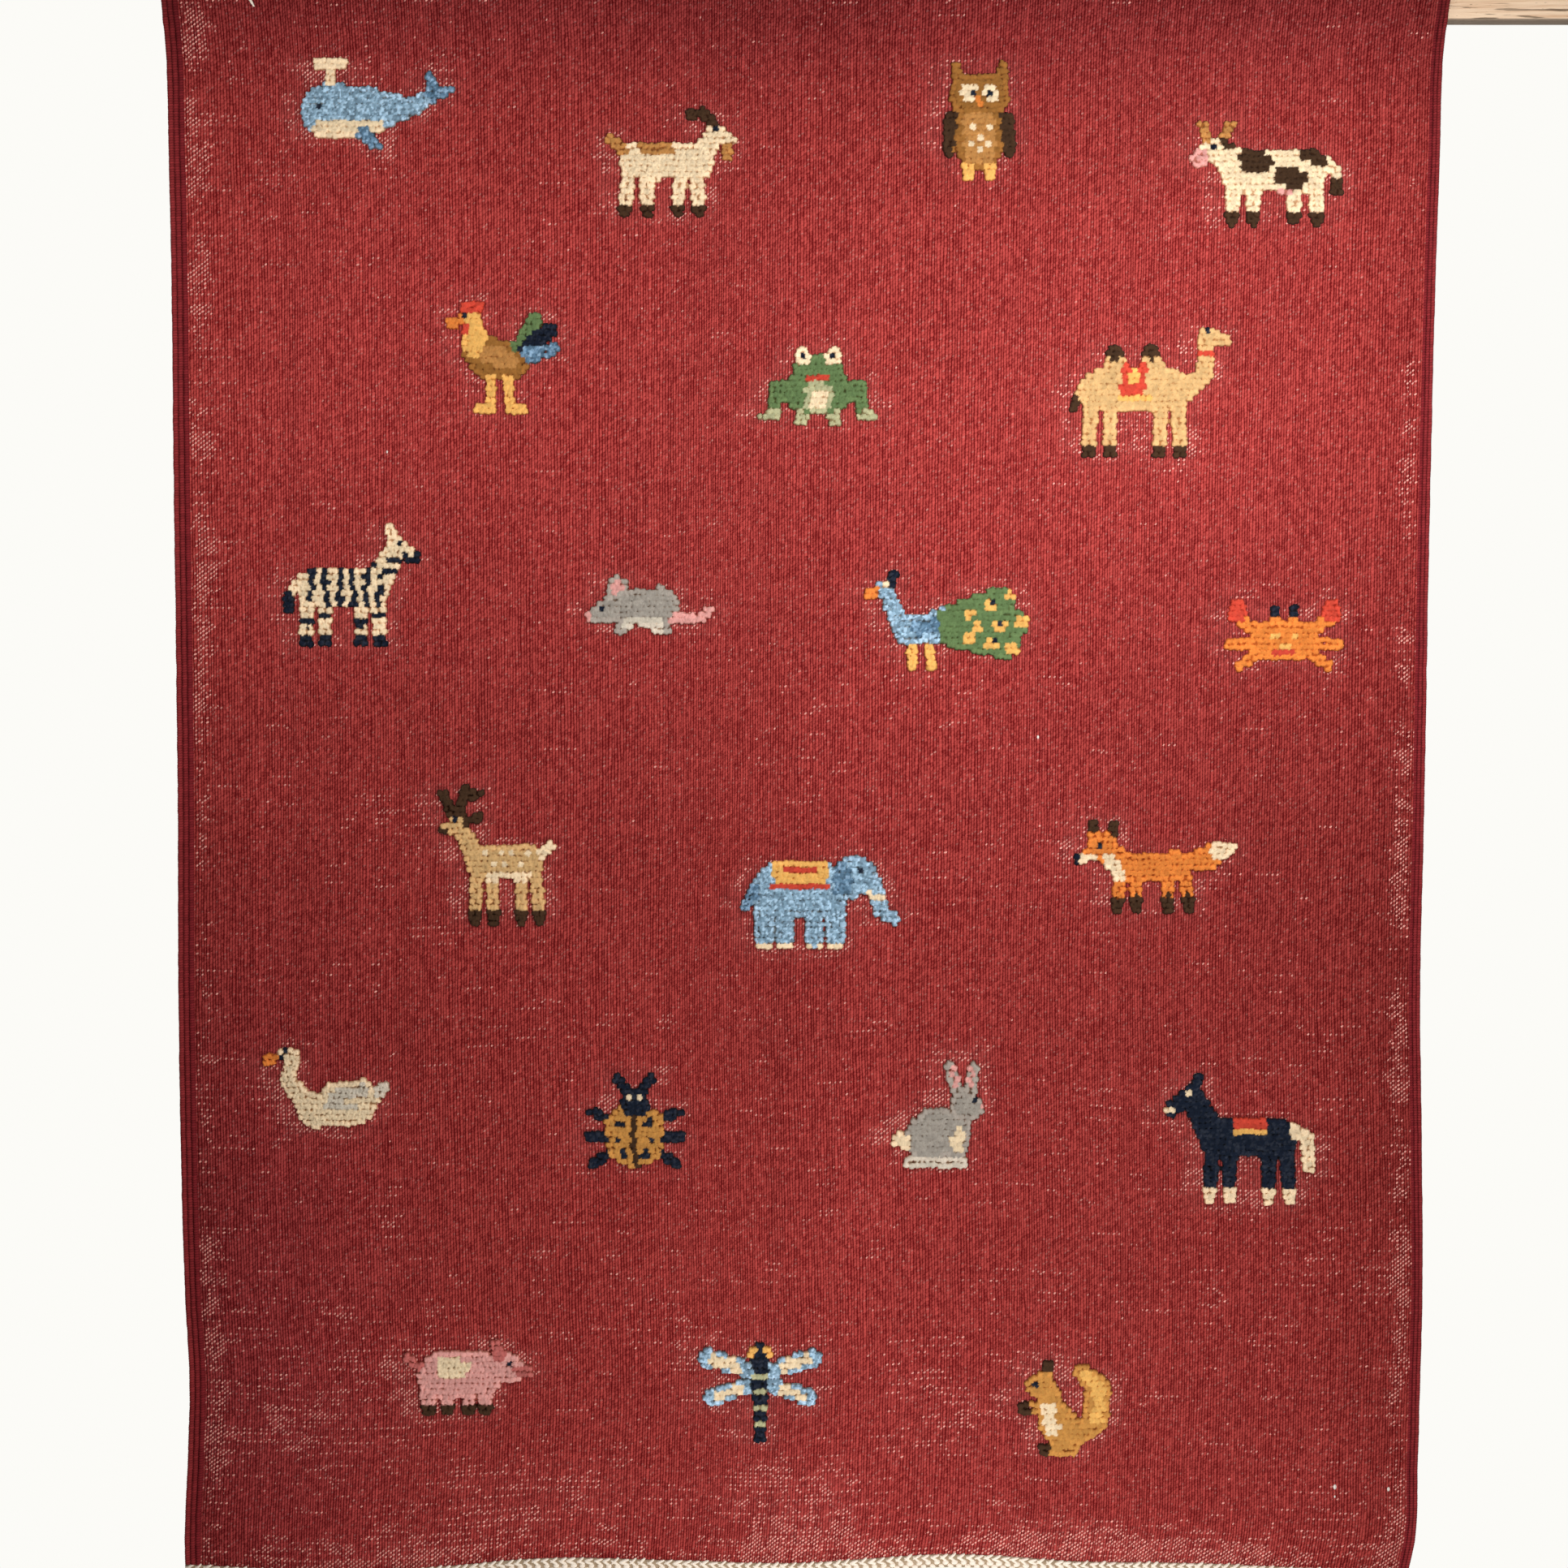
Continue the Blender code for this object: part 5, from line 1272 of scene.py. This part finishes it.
class RUG_OT_finish_ends(Operator):
    """Chain and knot the cotton at both ends of the rug"""
    bl_idname = "rug.finish_ends"
    bl_label = "Finish ends"

    def execute(self, context):
        edges = context.scene.rug_edges
        material = cotton_material(edges)
        for node, outward, seed in (("end_braid_lower", -1, 51), ("end_braid_upper", 1, 52)):
            parts = self.braid(edges, outward, seed)
            if outward > 0:
                parts += self.loose_tail()
            points, faces, crown = join(parts)
            piece = put_mesh("cotton_" + node, points, faces, material, {"crown": crown})
            hand_over(piece, node)
        return {"FINISHED"}

    def braid(self, edges, outward, seed):
        """A chain row beside the cloth and two staggered rows of knots beyond it.

        A link of the chain is two slanting lumps that meet in a point; a knot is one round
        lump. All follow the lower end's line, or the straight upper end on the bar.
        """
        down = CLOTH_LENGTH if outward < 0 else 0.0
        left = float(edge_at(down, "left"))
        right = float(edge_at(down, "right"))
        count = round((right - left) / edges.loop)
        pitch = (right - left) / count
        rng = np.random.default_rng(seed)
        middle = left + pitch * (np.arange(count) + 0.5)
        jitter = rng.uniform(-0.05, 0.05, count) * pitch

        def end_line(x):
            """The height of the cloth's end."""
            return lower_end_at(x) if outward < 0 else np.full(np.shape(x), CLOTH_TOP)

        def row(x, away, tilt, radii, proud):
            """Lumps this far beyond the cloth, tilted by this angle from the end's line."""
            x = x + rng.uniform(-0.0003, 0.0003, len(x))
            fell = end_line(x)
            slope = (end_line(x + 0.002) - end_line(x - 0.002)) / 0.004
            z = fell + outward * (away + rng.uniform(-0.0003, 0.0003, len(x)))
            y = depth_at(x, fell) - proud
            tilt = tilt + rng.uniform(-0.30, 0.30, len(x))
            axis = np.stack((np.cos(tilt), 0 * x, np.sin(tilt) + slope), axis=-1)
            sizes = np.tile(np.array(radii), (len(x), 1))
            return lumps(np.stack((x, y, z), axis=-1), axis, sizes, 5, 8, seed)

        on_bar = outward > 0
        flat = 0.75 if on_bar else 1.0
        lift = 0.0011 if on_bar else 0.0012
        slant = np.radians(27.0) * outward
        parts = [
            row(middle + jitter, 0.0021, -slant, (0.57 * pitch, 0.0015, 0.0021 * flat), lift),
            row(middle + jitter, 0.0046, slant, (0.57 * pitch, 0.0015, 0.0021 * flat), lift),
            row(middle + 0.25 * pitch, 0.0079, 0.2, (0.37 * pitch, 0.0027, 0.0026 * flat), lift),
            row(middle - 0.25 * pitch, 0.0114, -0.2, (0.36 * pitch, 0.0024, 0.0024 * flat), lift),
        ]
        if on_bar:
            for points, _, _ in parts:
                points[:, 1] = np.minimum(points[:, 1], BAR_FACE)
        x = np.linspace(left, right, 2 * count + 1)
        parts.append(strip(x, end_line(x), outward, on_bar))
        return parts

    def loose_tail(self):
        """A short loose end of cotton that hangs from the top over the face of the rug."""
        t = np.linspace(0.0, 1.0, 14)
        sides = 8
        x = -0.5175 + 0.0085 * t**1.3
        z = 0.0040 - 0.0185 * t
        y = depth_at(x, z) - 0.0042 - 0.0012 * np.sin(np.pi * t)
        radius = 0.0016 * (1.0 - 0.25 * np.cos(2 * np.pi * t * 2.0)) * (1.0 - 0.35 * t)
        a = np.arange(sides) * 2 * np.pi / sides
        points = tube_points(
            x[:, None] + radius[:, None] * np.cos(a),
            y[:, None] + radius[:, None] * np.sin(a),
            z[:, None] + 0.0003 * np.sin(3 * a),
        )
        # crown is high on the front of the tail, so its back takes the cotton's painted shade.
        crown = np.concatenate((np.tile(0.55 - 0.45 * np.sin(a), len(t)), (0.6, 0.6)))
        return [(points, tube_faces(len(t), sides), crown)]


def pile_material(name):
    """Knotted wool pile: the yarn's colour on the tips, painted shade deeper and browner down between
    them, and a painted highlight on the rim knots.
    """
    n = Nodes(name)
    place = n.object_place()
    curls = n.noise(place, 3.0, (620.0, 300.0, 640.0), 0.6)
    strokes = n.noise(place, 3.0, (1250.0, 300.0, 460.0), 0.65)
    cut = n.attribute("cut")
    fibre = strokes * cut + curls * (1.0 - cut)
    yarn = n.attribute("yarn", "Color")
    # Painted shade: deep is the yarn darkened and browned, shown where the pile stands low between
    # tufts.
    deep = n.mix(1.0, yarn, (0.56, 0.43, 0.35, 1.0), "MULTIPLY")
    tip = n.ramp(n.attribute("tip"), 0.08, 0.72)
    tip = n.math("ADD", tip, fibre * 1.10 - 0.60, clamp=True)
    colour = n.mix(tip, deep, yarn)
    # Painted highlight: knots at the figure's rim are made lighter.
    lit = n.mix(1.0, colour, (1.16, 1.12, 1.12, 1.0), "MULTIPLY")
    colour = n.mix(n.attribute("rim"), colour, lit)
    stray = n.noise(place, 2.0, (420.0, 200.0, 900.0))
    colour = n.mix(n.ramp(stray, 0.66, 0.80, 0.0, 0.05), colour, (0.62, 0.58, 0.54, 1.0))
    n.bump(fibre, 0.0012, 0.8)
    return n.finish(colour, 0.95, sheen=0.03, specular=0.05)


class RUG_OT_knot_figures(Operator):
    """Knot the small pile figures"""
    bl_idname = "rug.knot_figures"
    bl_label = "Knot figures"

    cell = 0.00104

    def execute(self, context):
        pile = context.scene.rug_pile
        materials = {}
        for number, place in enumerate(PLACES):
            slot = place.yarn + "_pile"
            if slot not in materials:
                materials[slot] = pile_material(place.yarn + " wool pile")
            points, faces, values = self.figure(place, pile, 60 + number)
            piece = put_mesh("knotted_" + place.figure, points, faces, materials[slot], values)
            hand_over(piece, "figure_" + place.figure)
        return {"FINISHED"}

    def yarns(self, place, x, z, pile):
        """The colour of each knot: the figure's own yarn, then its marks in order.

        A mark no longer than 2 mm with a radius of 3 mm or less colours the nearest knot alone.
        """
        colours = np.empty((len(x), 3))
        colours[:] = linear(getattr(pile, place.yarn))
        for yarn, radius, *strokes in MARKS[place.figure]:
            for stroke in strokes:
                x0, z0 = stroke[:2]
                x1, z1 = stroke[2:] or (x0 + 1, z0)
                if radius <= 3 and np.hypot(x1 - x0, z1 - z0) <= 2:
                    middle = np.array((x0 + x1, z0 + z1)) / 2 * MILLIMETRE
                    here = np.argmin(np.hypot(x - place.faces * middle[0], z - middle[1]))
                else:
                    limb = (x0, z0, x1, z1, radius, radius)
                    here = inside_by(x, z, (limb,), place.faces) > 0
                colours[here] = linear(getattr(pile, yarn))
        return colours

    def rows_of_knots(self, place, pile, rng):
        """Each stretch of a row inside the outline, shared out in knots.

        Every second row begins and ends with a narrower knot, so that the knots break joint.
        """
        step = 0.0002
        x = np.arange(-0.100, 0.100, step)
        shift = rng.uniform(-0.5, 0.5) * pile.knot_height
        found = []
        for row in range(-20, 21):
            z = row * pile.knot_height + shift
            uneven = 0.0009 * soft_noise(x, z + 0.0 * x, 0.011, 0.009, 72)
            inside = inside_by(x, z, FIGURES[place.figure], place.faces) + uneven > 0.0004
            ends = np.flatnonzero(np.diff(np.concatenate(([0], inside, [0]))))
            for first, last in zip(ends[::2], ends[1::2]):
                length = (last - first) * step
                if length > 0.0038:
                    count = max(1, round(length / pile.knot_width + rng.uniform(-0.2, 0.2)))
                    widths = np.ones(count)
                    if row % 2 and count > 1:
                        widths = np.concatenate(([0.66], np.ones(count - 1), [0.66]))
                    widths = widths * rng.uniform(0.90, 1.10, len(widths))
                    widths = widths * length / widths.sum()
                    middles = x[first] + np.cumsum(widths) - widths / 2
                    heights = z + 0.0007 * soft_noise(middles, z + 0.0 * middles, 0.012, 0.020, 73)
                    heights = heights + rng.uniform(-0.0004, 0.0004, len(widths))
                    found.append(np.column_stack((middles, heights, widths)))
        return np.concatenate(found).T

    def tufts(self, place, pile, rng):
        """A bead for each knot and four tufts on it, in arrays of equal length.

        A knot nearer to the outline than its own half height is first moved along the
        outline's normal, by at most 1.3 mm, so that its edge meets the outline give or take
        0.6 mm.
        """
        x, z, width = self.rows_of_knots(place, pile, rng)
        limbs, faces, step = FIGURES[place.figure], place.faces, 0.0004
        depth = inside_by(x, z, limbs, faces)
        slope_x = inside_by(x + step, z, limbs, faces) - inside_by(x - step, z, limbs, faces)
        slope_z = inside_by(x, z + step, limbs, faces) - inside_by(x, z - step, limbs, faces)
        steep = np.maximum(np.hypot(slope_x, slope_z), 1e-9)
        rim = np.clip((0.0052 - depth) / 0.0022, 0.0, 1.0)
        out = rim * np.clip(depth - 0.45 * pile.knot_height, -0.0012, 0.0013)
        out = out + rim * rng.uniform(-0.0006, 0.0006, len(x))
        colours = self.yarns(place, x, z, pile)
        dark = colours.mean(axis=1) < 0.03
        low = np.where(dark & (place.yarn != "navy"), 0.82, 1.0)
        colours = colours * rng.uniform(0.90, 1.08, (len(x), 1))
        x = x - out * slope_x / steep
        z = z - out * slope_z / steep
        turn = rng.uniform(-0.5, 0.5, (len(x), 1))
        right = np.array((0.0, -0.25, 0.25, -0.25, 0.25)) * width[:, None]
        up = np.array((0.0, -0.225, -0.225, 0.225, 0.225)) * pile.knot_height
        bead = np.array((1.0, 0.0, 0.0, 0.0, 0.0))
        count = (len(x), 5)
        loose = 0.0006 * (1.0 - bead)
        sizes = bead * 0.62 + (1.0 - bead) * 0.32 * rng.uniform(0.85, 1.30, count)
        across = bead * (0.63 - 0.07 * rim[:, None])
        across = across + (1.0 - bead) * 0.30 * rng.uniform(0.85, 1.20, count)
        tall = bead * (0.72 + 0.08 * rim[:, None]) + (1.0 - bead) * rng.uniform(0.76, 1.0, count)
        stray_x = loose * rng.uniform(-1, 1, count)
        stray_z = loose * rng.uniform(-1, 1, count)
        tuft = {
            "x": x[:, None] + right * np.cos(turn) - up * np.sin(turn) + stray_x,
            "z": z[:, None] + right * np.sin(turn) + up * np.cos(turn) + stray_z,
            "long": sizes * width[:, None],
            "wide": across * pile.knot_height,
            "turn": np.where(bead > 0, turn * 0.5, rng.uniform(-1.2, 1.2, count)),
            "tall": pile.pile * tall * (low * (1.0 - 0.10 * rim))[:, None],
            # rim also sets the pile material's painted highlight on the rim knots.
            "rim": np.tile(rim[:, None], (1, 5)),
        }
        tuft = {key: value.ravel() for key, value in tuft.items()}
        bluish = colours[:, 2] > 0.9 * colours[:, 0]
        heather = np.where(bluish, np.minimum(2.2 * colours[:, 2], 0.42), 0.0)
        heather = np.repeat(heather, 5)[:, None]
        speckle = rng.uniform(-1.0, 1.0, (5 * len(x), 1))
        yarn = np.repeat(colours, 5, axis=0) * (1.0 + 0.10 * speckle - 0.02)
        tuft["yarn"] = yarn * (1.0 + heather * speckle) + 0.30 * heather * np.clip(speckle, 0.0, 1.0)
        return tuft

    def figure(self, place, pile, seed):
        """The pile as a closed field of heights on a fine grid.

        Over a bead or tuft, f = 1 - (a / long)^2 - (b / wide)^2 with a and b along and across
        it, and the pile's height is the greatest tall * f ^ power there. The power is lower
        where the yarn's loops are cut. The grid's outermost points are moved along the slope
        of f to where f is zero, and a flat base closes the form.
        """
        rng = np.random.default_rng(seed)
        tuft = self.tufts(place, pile, rng)
        cut = CUT_SHARE.get(place.yarn, 0.0)
        low = np.array((tuft["x"].min(), tuft["z"].min())) - 8 * self.cell
        high = np.array((tuft["x"].max(), tuft["z"].max())) + 8 * self.cell
        shape = tuple(((high - low) / self.cell).astype(int))
        offset = np.arange(-5, 6)
        i = np.rint((tuft["x"] - low[0]) / self.cell).astype(int)[:, None, None] + offset[:, None]
        j = np.rint((tuft["z"] - low[1]) / self.cell).astype(int)[:, None, None] + offset[None, :]
        dx = low[0] + i * self.cell - tuft["x"][:, None, None]
        dz = low[1] + j * self.cell - tuft["z"][:, None, None]
        c, s = np.cos(tuft["turn"])[:, None, None], np.sin(tuft["turn"])[:, None, None]
        f = 1 - ((dx * c + dz * s) / tuft["long"][:, None, None]) ** 2
        f = (f - ((dz * c - dx * s) / tuft["wide"][:, None, None]) ** 2).ravel()
        at = (i * shape[1] + j).ravel()
        best = np.full(shape[0] * shape[1], -4.0)
        np.maximum.at(best, at, f)
        rise = np.repeat(tuft["tall"], offset.size**2) * np.clip(f, 0.0, 1.0) ** (0.45 - 0.22 * cut)
        rise = rise + 1e-6 * np.clip(f, -4.0, 0.0)
        height = np.full(len(best), -1.0)
        np.maximum.at(height, at, rise)
        owner = np.zeros(len(best), int)
        won = rise >= height[at]
        owner[at[won]] = np.repeat(np.arange(len(tuft["x"])), offset.size**2)[won]
        best, height, owner = (a.reshape(shape) for a in (best, height, owner))
        slope_x, slope_z = np.gradient(np.clip(best, -3.0, 1.0), self.cell)
        steep = np.maximum(slope_x**2 + slope_z**2, 1.0)
        outside = best <= 0
        shift = np.where(outside, -np.clip(best, -3.0, 0.0) / steep, 0.0)
        limit = 0.62 * self.cell
        x = low[0] + np.arange(shape[0])[:, None] * self.cell + np.clip(shift * slope_x, -limit, limit)
        z = low[1] + np.arange(shape[1])[None, :] * self.cell + np.clip(shift * slope_z, -limit, limit)
        px = place.across + x
        pz = CLOTH_TOP - place.down + z
        inner = ~outside
        cells = inner[:-1, :-1] | inner[1:, :-1] | inner[:-1, 1:] | inner[1:, 1:]
        cells = self.without_pinches(cells)
        ground = depth_at(px, pz) - CLOTH_THICKNESS / 2 + 0.00025
        values = {
            # tip: the pile's height, which the material paints in shade where it is low.
            "tip": np.where(outside, 0.0, np.clip((height / pile.pile - 0.20) / 0.68, 0.0, 1.0)),
            "rim": tuft["rim"][owner],
            "cut": np.full(shape, cut),
            "yarn": tuft["yarn"][owner],
        }
        return self.closed(px, pz, ground, np.maximum(height, 0.16 * pile.pile), cells, values)

    def without_pinches(self, cells):
        """Fills a cell wherever two cells would touch at a corner alone."""
        for _ in range(2):
            a, b, c, d = cells[:-1, :-1], cells[1:, :-1], cells[:-1, 1:], cells[1:, 1:]
            one = a & d & ~b & ~c
            other = b & c & ~a & ~d
            cells = cells.copy()
            cells[1:, :-1] |= one
            cells[:-1, :-1] |= other
        return cells

    def closed(self, px, pz, ground, height, cells, values):
        """The top faces, the same faces below turned over, and a wall round their outline."""
        rows, columns = px.shape
        index = np.arange(rows * columns).reshape(rows, columns)
        quad = np.stack((index[:-1, :-1], index[1:, :-1], index[1:, 1:], index[:-1, 1:]), axis=-1)
        top = quad[cells]
        used = np.unique(top)
        lookup = np.full(rows * columns, -1)
        lookup[used] = np.arange(len(used))
        top = lookup[top]
        under = top[:, ::-1] + len(used)
        sides = np.concatenate([top[:, [k, (k + 1) % 4]] for k in range(4)])
        keys = np.sort(sides, axis=1)
        keys = keys[:, 0] * len(used) + keys[:, 1]
        _, first, count = np.unique(keys, return_index=True, return_counts=True)
        rim = sides[first[count == 1]]
        wall = np.column_stack((rim[:, 1], rim[:, 0], rim[:, 0] + len(used), rim[:, 1] + len(used)))
        x, z, y = px.ravel()[used], pz.ravel()[used], ground.ravel()[used]
        upper = np.column_stack((x, y - height.ravel()[used], z))
        lower = np.column_stack((x, y, z))
        flat = {}
        for key, value in values.items():
            value = value.reshape(rows * columns, -1)[used]
            value = np.concatenate((value, value))
            flat[key] = value[:, 0] if value.shape[1] == 1 else value
        flat["tip"][len(used):] = 0.0
        return np.concatenate((upper, lower)), [top, under, wall], flat


def wood_material(bar):
    """Weathered wood: fine grain lines along the bar, a few long cracks and dark flecks, and painted
    shade on its underside.
    """
    n = Nodes("weathered wood")
    place = n.object_place()
    wave = n.noise(place, 2.0, (2.2, 30.0, 30.0)) * 7.0
    along = n.stretch(place, (3.0, 260.0, 260.0))
    shifted = n.worked(n.add("VectorMath", operation="ADD"), (along, n.combine(0.0, wave, wave)))
    lines = n.noise(shifted, 4.0, roughness=0.65)
    fine = n.noise(place, 3.0, (30.0, 1500.0, 1500.0), 0.7)
    blotch = n.noise(place, 3.0, (7.0, 24.0, 24.0))
    crack_lines = n.noise(place, 2.0, (26.0, 430.0, 430.0))
    crack = n.ramp(crack_lines, 0.600, 0.68) * n.ramp(blotch, 0.44, 0.56)
    flecks = n.ramp(n.noise(place, 1.0, (160.0, 620.0, 620.0)), 0.68, 0.78)
    colour = n.mix(n.ramp(lines, 0.42, 0.68), rgba(bar.face), rgba(bar.grain))
    colour = n.mix(n.ramp(fine, 0.50, 0.75, 0.0, 0.50), colour, rgba(bar.grain))
    colour = n.mix(n.ramp(blotch, 0.50, 0.75, 0.0, 0.12), colour, (0.42, 0.34, 0.26, 1.0))
    marks = n.math("MAXIMUM", crack, flecks * 0.7) * 0.85
    colour = n.mix(marks, colour, rgba(bar.crack))
    # Painted shade: the underside of the bar, below z = -0.0228, turns dark brown.
    low = n.split(place)[2]
    colour = n.mix(n.ramp(low, -0.0228, -0.0240, 0.0, 0.86), colour, (0.150, 0.120, 0.092, 1.0))
    n.bump(crack * -1.5 + (lines + fine * 0.5), 0.0008, 0.8)
    return n.finish(colour, lines * 0.2 + 0.62, specular=0.3)


class RUG_OT_season_bar(Operator):
    """Shape and weather the wooden bar"""
    bl_idname = "rug.season_bar"
    bl_label = "Season bar"

    def execute(self, context):
        """A rounded rectangle carried along the bar, worn in by up to 0.35 mm along the grain."""
        low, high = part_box("hanging_bar")
        low, high = np.array(low), np.array(high)
        stations = 221
        margin = 0.0016
        x = low[0] + (high[0] - low[0]) * np.linspace(0.0, 1.0, stations)
        section = self.section(high[1] - low[1], high[2] - low[2], margin)
        centre = (low + high) / 2
        y = centre[1] + section[None, :, 0] + 0.0 * x[:, None]
        z = centre[2] + section[None, :, 1] + 0.0 * x[:, None]
        inward = section / np.linalg.norm(section, axis=1, keepdims=True)
        worn = mottle(x[:, None] + 0.0 * z, 60.0 * z + 37.0 * y, 0.050, 0.06, 81)
        deep = 0.00035 * worn
        y = y - deep * inward[None, :, 0]
        z = z - deep * inward[None, :, 1]
        rings = np.stack((x[:, None] + 0.0 * y, y, z), axis=-1)
        for end in (0, -1):
            rings[end, :, 1:] += 0.06 * (centre[1:] - rings[end, :, 1:])
        rings[1, :, 0] = rings[0, :, 0] + 0.0006
        rings[-2, :, 0] = rings[-1, :, 0] - 0.0006
        points = tube_points(rings[:, :, 0], rings[:, :, 1], rings[:, :, 2])
        faces = tube_faces(stations, len(section))
        bar = put_mesh("weathered_bar", points, faces, wood_material(context.scene.rug_bar))
        hand_over(bar, "hanging_bar")
        return {"FINISHED"}

    def section(self, thick, tall, margin):
        """A rectangle with corners of radius margin, 8 points to a long side."""
        half = np.array((thick, tall)) / 2
        turn = np.linspace(0.0, np.pi / 2, 4)
        across = np.linspace(-1.0, 1.0, 9)[1:-1] * (half[1] - margin)
        top = np.linspace(-1.0, 1.0, 5)[1:-1] * (half[0] - margin)
        edges = (
            [(half[0], v) for v in across],
            [(v, half[1]) for v in top[::-1]],
            [(-half[0], v) for v in across[::-1]],
            [(v, -half[1]) for v in top],
        )
        points = []
        for quarter, edge in enumerate(edges):
            angle = turn + quarter * np.pi / 2
            way = np.column_stack((np.cos(angle), np.sin(angle)))
            corner = np.sign(np.cos(angle[1])), np.sign(np.sin(angle[1]))
            points += edge
            points += list(np.array(corner) * (half - margin) + margin * way)
        return np.array(points)


def area_lamp(name, place, aim, size, power):
    """A soft square lamp that looks at a point and stays out of the picture."""
    light = bpy.data.lights.new(name, "AREA")
    light.shape = "SQUARE"
    light.size = size
    light.energy = power
    lamp = bpy.data.objects.new(name, light)
    lamp.location = place
    lamp.rotation_euler = (Vector(aim) - Vector(place)).to_track_quat("-Z", "Y").to_euler()
    lamp.visible_camera = False
    bpy.context.scene.collection.objects.link(lamp)


class RUG_OT_set_stage(Operator):
    """Set the floor, the light and the camera"""
    bl_idname = "rug.set_stage"
    bl_label = "Set stage"

    def execute(self, context):
        stage = context.scene.rug_stage
        self.floor(stage)
        area_lamp("upper lamp", (0.42, -0.75, -0.35), (0.29, 0.0, -0.43), 0.34, stage.upper_power)
        area_lamp("left lamp", (-0.55, -0.75, -0.29), (-0.38, 0.0, -0.38), 0.34, stage.left_power)
        area_lamp("lower lamp", (0.18, -0.75, -1.69), (0.12, 0.0, -1.50), 0.34, stage.lower_power)
        area_lamp("back lamp", (0.0, 2.2, -0.40), (0.0, 0.0, -0.75), 1.20, stage.back_power)
        self.room(stage)
        data = bpy.data.cameras.new("camera")
        data.sensor_width = 36.0
        data.lens = stage.lens
        camera = bpy.data.objects.new("camera", data)
        camera.location = (stage.camera_across, -stage.camera_distance, stage.camera_height)
        camera.rotation_euler = (np.pi / 2 - stage.camera_tilt, 0.0, 0.0)
        context.scene.collection.objects.link(camera)
        context.scene.camera = camera
        context.scene.view_settings.view_transform = "Standard"
        return {"FINISHED"}

    def floor(self, stage):
        """A flat pale floor below the rug, a little brighter to the camera than to the rug."""
        n = Nodes("pale floor")
        cloud = n.noise(n.object_place(), 2.0, (1.5, 1.5, 1.5))
        colour = n.mix(cloud, (0.80, 0.78, 0.74, 1.0), (0.86, 0.84, 0.80, 1.0))
        n.finish(colour, 0.9)
        seen = n.add("LightPath").outputs["Is Camera Ray"]
        n.feed(n.shader.inputs["Emission Strength"], n.math("MULTIPLY", seen, 0.50))
        n.shader.inputs["Emission Color"].default_value = (1.0, 0.98, 0.95, 1.0)
        across = np.linspace(-7.0, 7.0, 14)
        along = np.linspace(-7.0, 1.4, 10)
        x, y = np.meshgrid(across, along, indexing="ij")
        points = np.stack((x, y, np.full(x.shape, stage.floor_height)), axis=-1)
        floor = put_mesh("floor", points, [grid_faces(14, 10)], n.material)

    def room(self, stage):
        """An ivory background that the camera sees, and an even light of its own strength."""
        world = bpy.data.worlds.new("room")
        bpy.context.scene.world = world
        world.use_nodes = True
        tree = world.node_tree
        seen = tree.nodes["Background"]
        seen.inputs["Color"].default_value = (0.973, 0.965, 0.930, 1.0)
        seen.inputs["Strength"].default_value = 1.0
        light = tree.nodes.new("ShaderNodeBackground")
        light.inputs["Color"].default_value = (1.0, 0.97, 0.93, 1.0)
        light.inputs["Strength"].default_value = stage.room_light
        path = tree.nodes.new("ShaderNodeLightPath")
        mix = tree.nodes.new("ShaderNodeMixShader")
        tree.links.new(path.outputs["Is Camera Ray"], mix.inputs[0])
        tree.links.new(light.outputs[0], mix.inputs[1])
        tree.links.new(seen.outputs[0], mix.inputs[2])
        tree.links.new(mix.outputs[0], tree.nodes["World Output"].inputs["Surface"])


class RUG_PT_panel(Panel):
    """The steps of making the rug, in order"""
    bl_label = "Wool rug"
    bl_idname = "RUG_PT_panel"
    bl_space_type = "VIEW_3D"
    bl_region_type = "UI"
    bl_category = "Rug"

    def draw(self, context):
        for group, operator in STEPS:
            box = self.layout.box()
            settings = getattr(context.scene, group)
            for key in settings.__annotations__:
                box.prop(settings, key)
            box.operator(operator)


STEPS = (
    ("rug_ground", "rug.weave_ground"),
    ("rug_edges", "rug.wrap_selvedges"),
    ("rug_edges", "rug.finish_ends"),
    ("rug_pile", "rug.knot_figures"),
    ("rug_bar", "rug.season_bar"),
    ("rug_stage", "rug.set_stage"),
)

GROUPS = (
    ("rug_ground", RugGround),
    ("rug_edges", RugEdges),
    ("rug_pile", RugPile),
    ("rug_bar", RugBar),
    ("rug_stage", RugStage),
)

OPERATORS = (
    RUG_OT_weave_ground,
    RUG_OT_wrap_selvedges,
    RUG_OT_finish_ends,
    RUG_OT_knot_figures,
    RUG_OT_season_bar,
    RUG_OT_set_stage,
)


def register():
    """Makes the settings, the operators and the panel known to Blender."""
    for key, group in GROUPS:
        bpy.utils.register_class(group)
        setattr(bpy.types.Scene, key, PointerProperty(type=group))
    for operator in OPERATORS:
        bpy.utils.register_class(operator)
    bpy.utils.register_class(RUG_PT_panel)


def unregister():
    """Takes them out again."""
    bpy.utils.unregister_class(RUG_PT_panel)
    for operator in reversed(OPERATORS):
        bpy.utils.unregister_class(operator)
    for key, group in reversed(GROUPS):
        delattr(bpy.types.Scene, key)
        bpy.utils.unregister_class(group)


def declare_cloth():
    """Lists the names of the cords, the end finishes and the figures, and does nothing more with them.
    """
    names = ["wrapped_cords_left", "wrapped_cords_right"]
    names += ["cotton_end_braid_lower", "cotton_end_braid_upper"]
    names += ["knotted_" + place.figure for place in PLACES]


def main():
    """Makes every piece in order."""
    register()
    bpy.ops.rug.weave_ground()
    bpy.ops.rug.wrap_selvedges()
    bpy.ops.rug.finish_ends()
    bpy.ops.rug.knot_figures()
    bpy.ops.rug.season_bar()
    bpy.ops.rug.set_stage()
    declare_cloth()


if __name__ == "__main__":
    main()
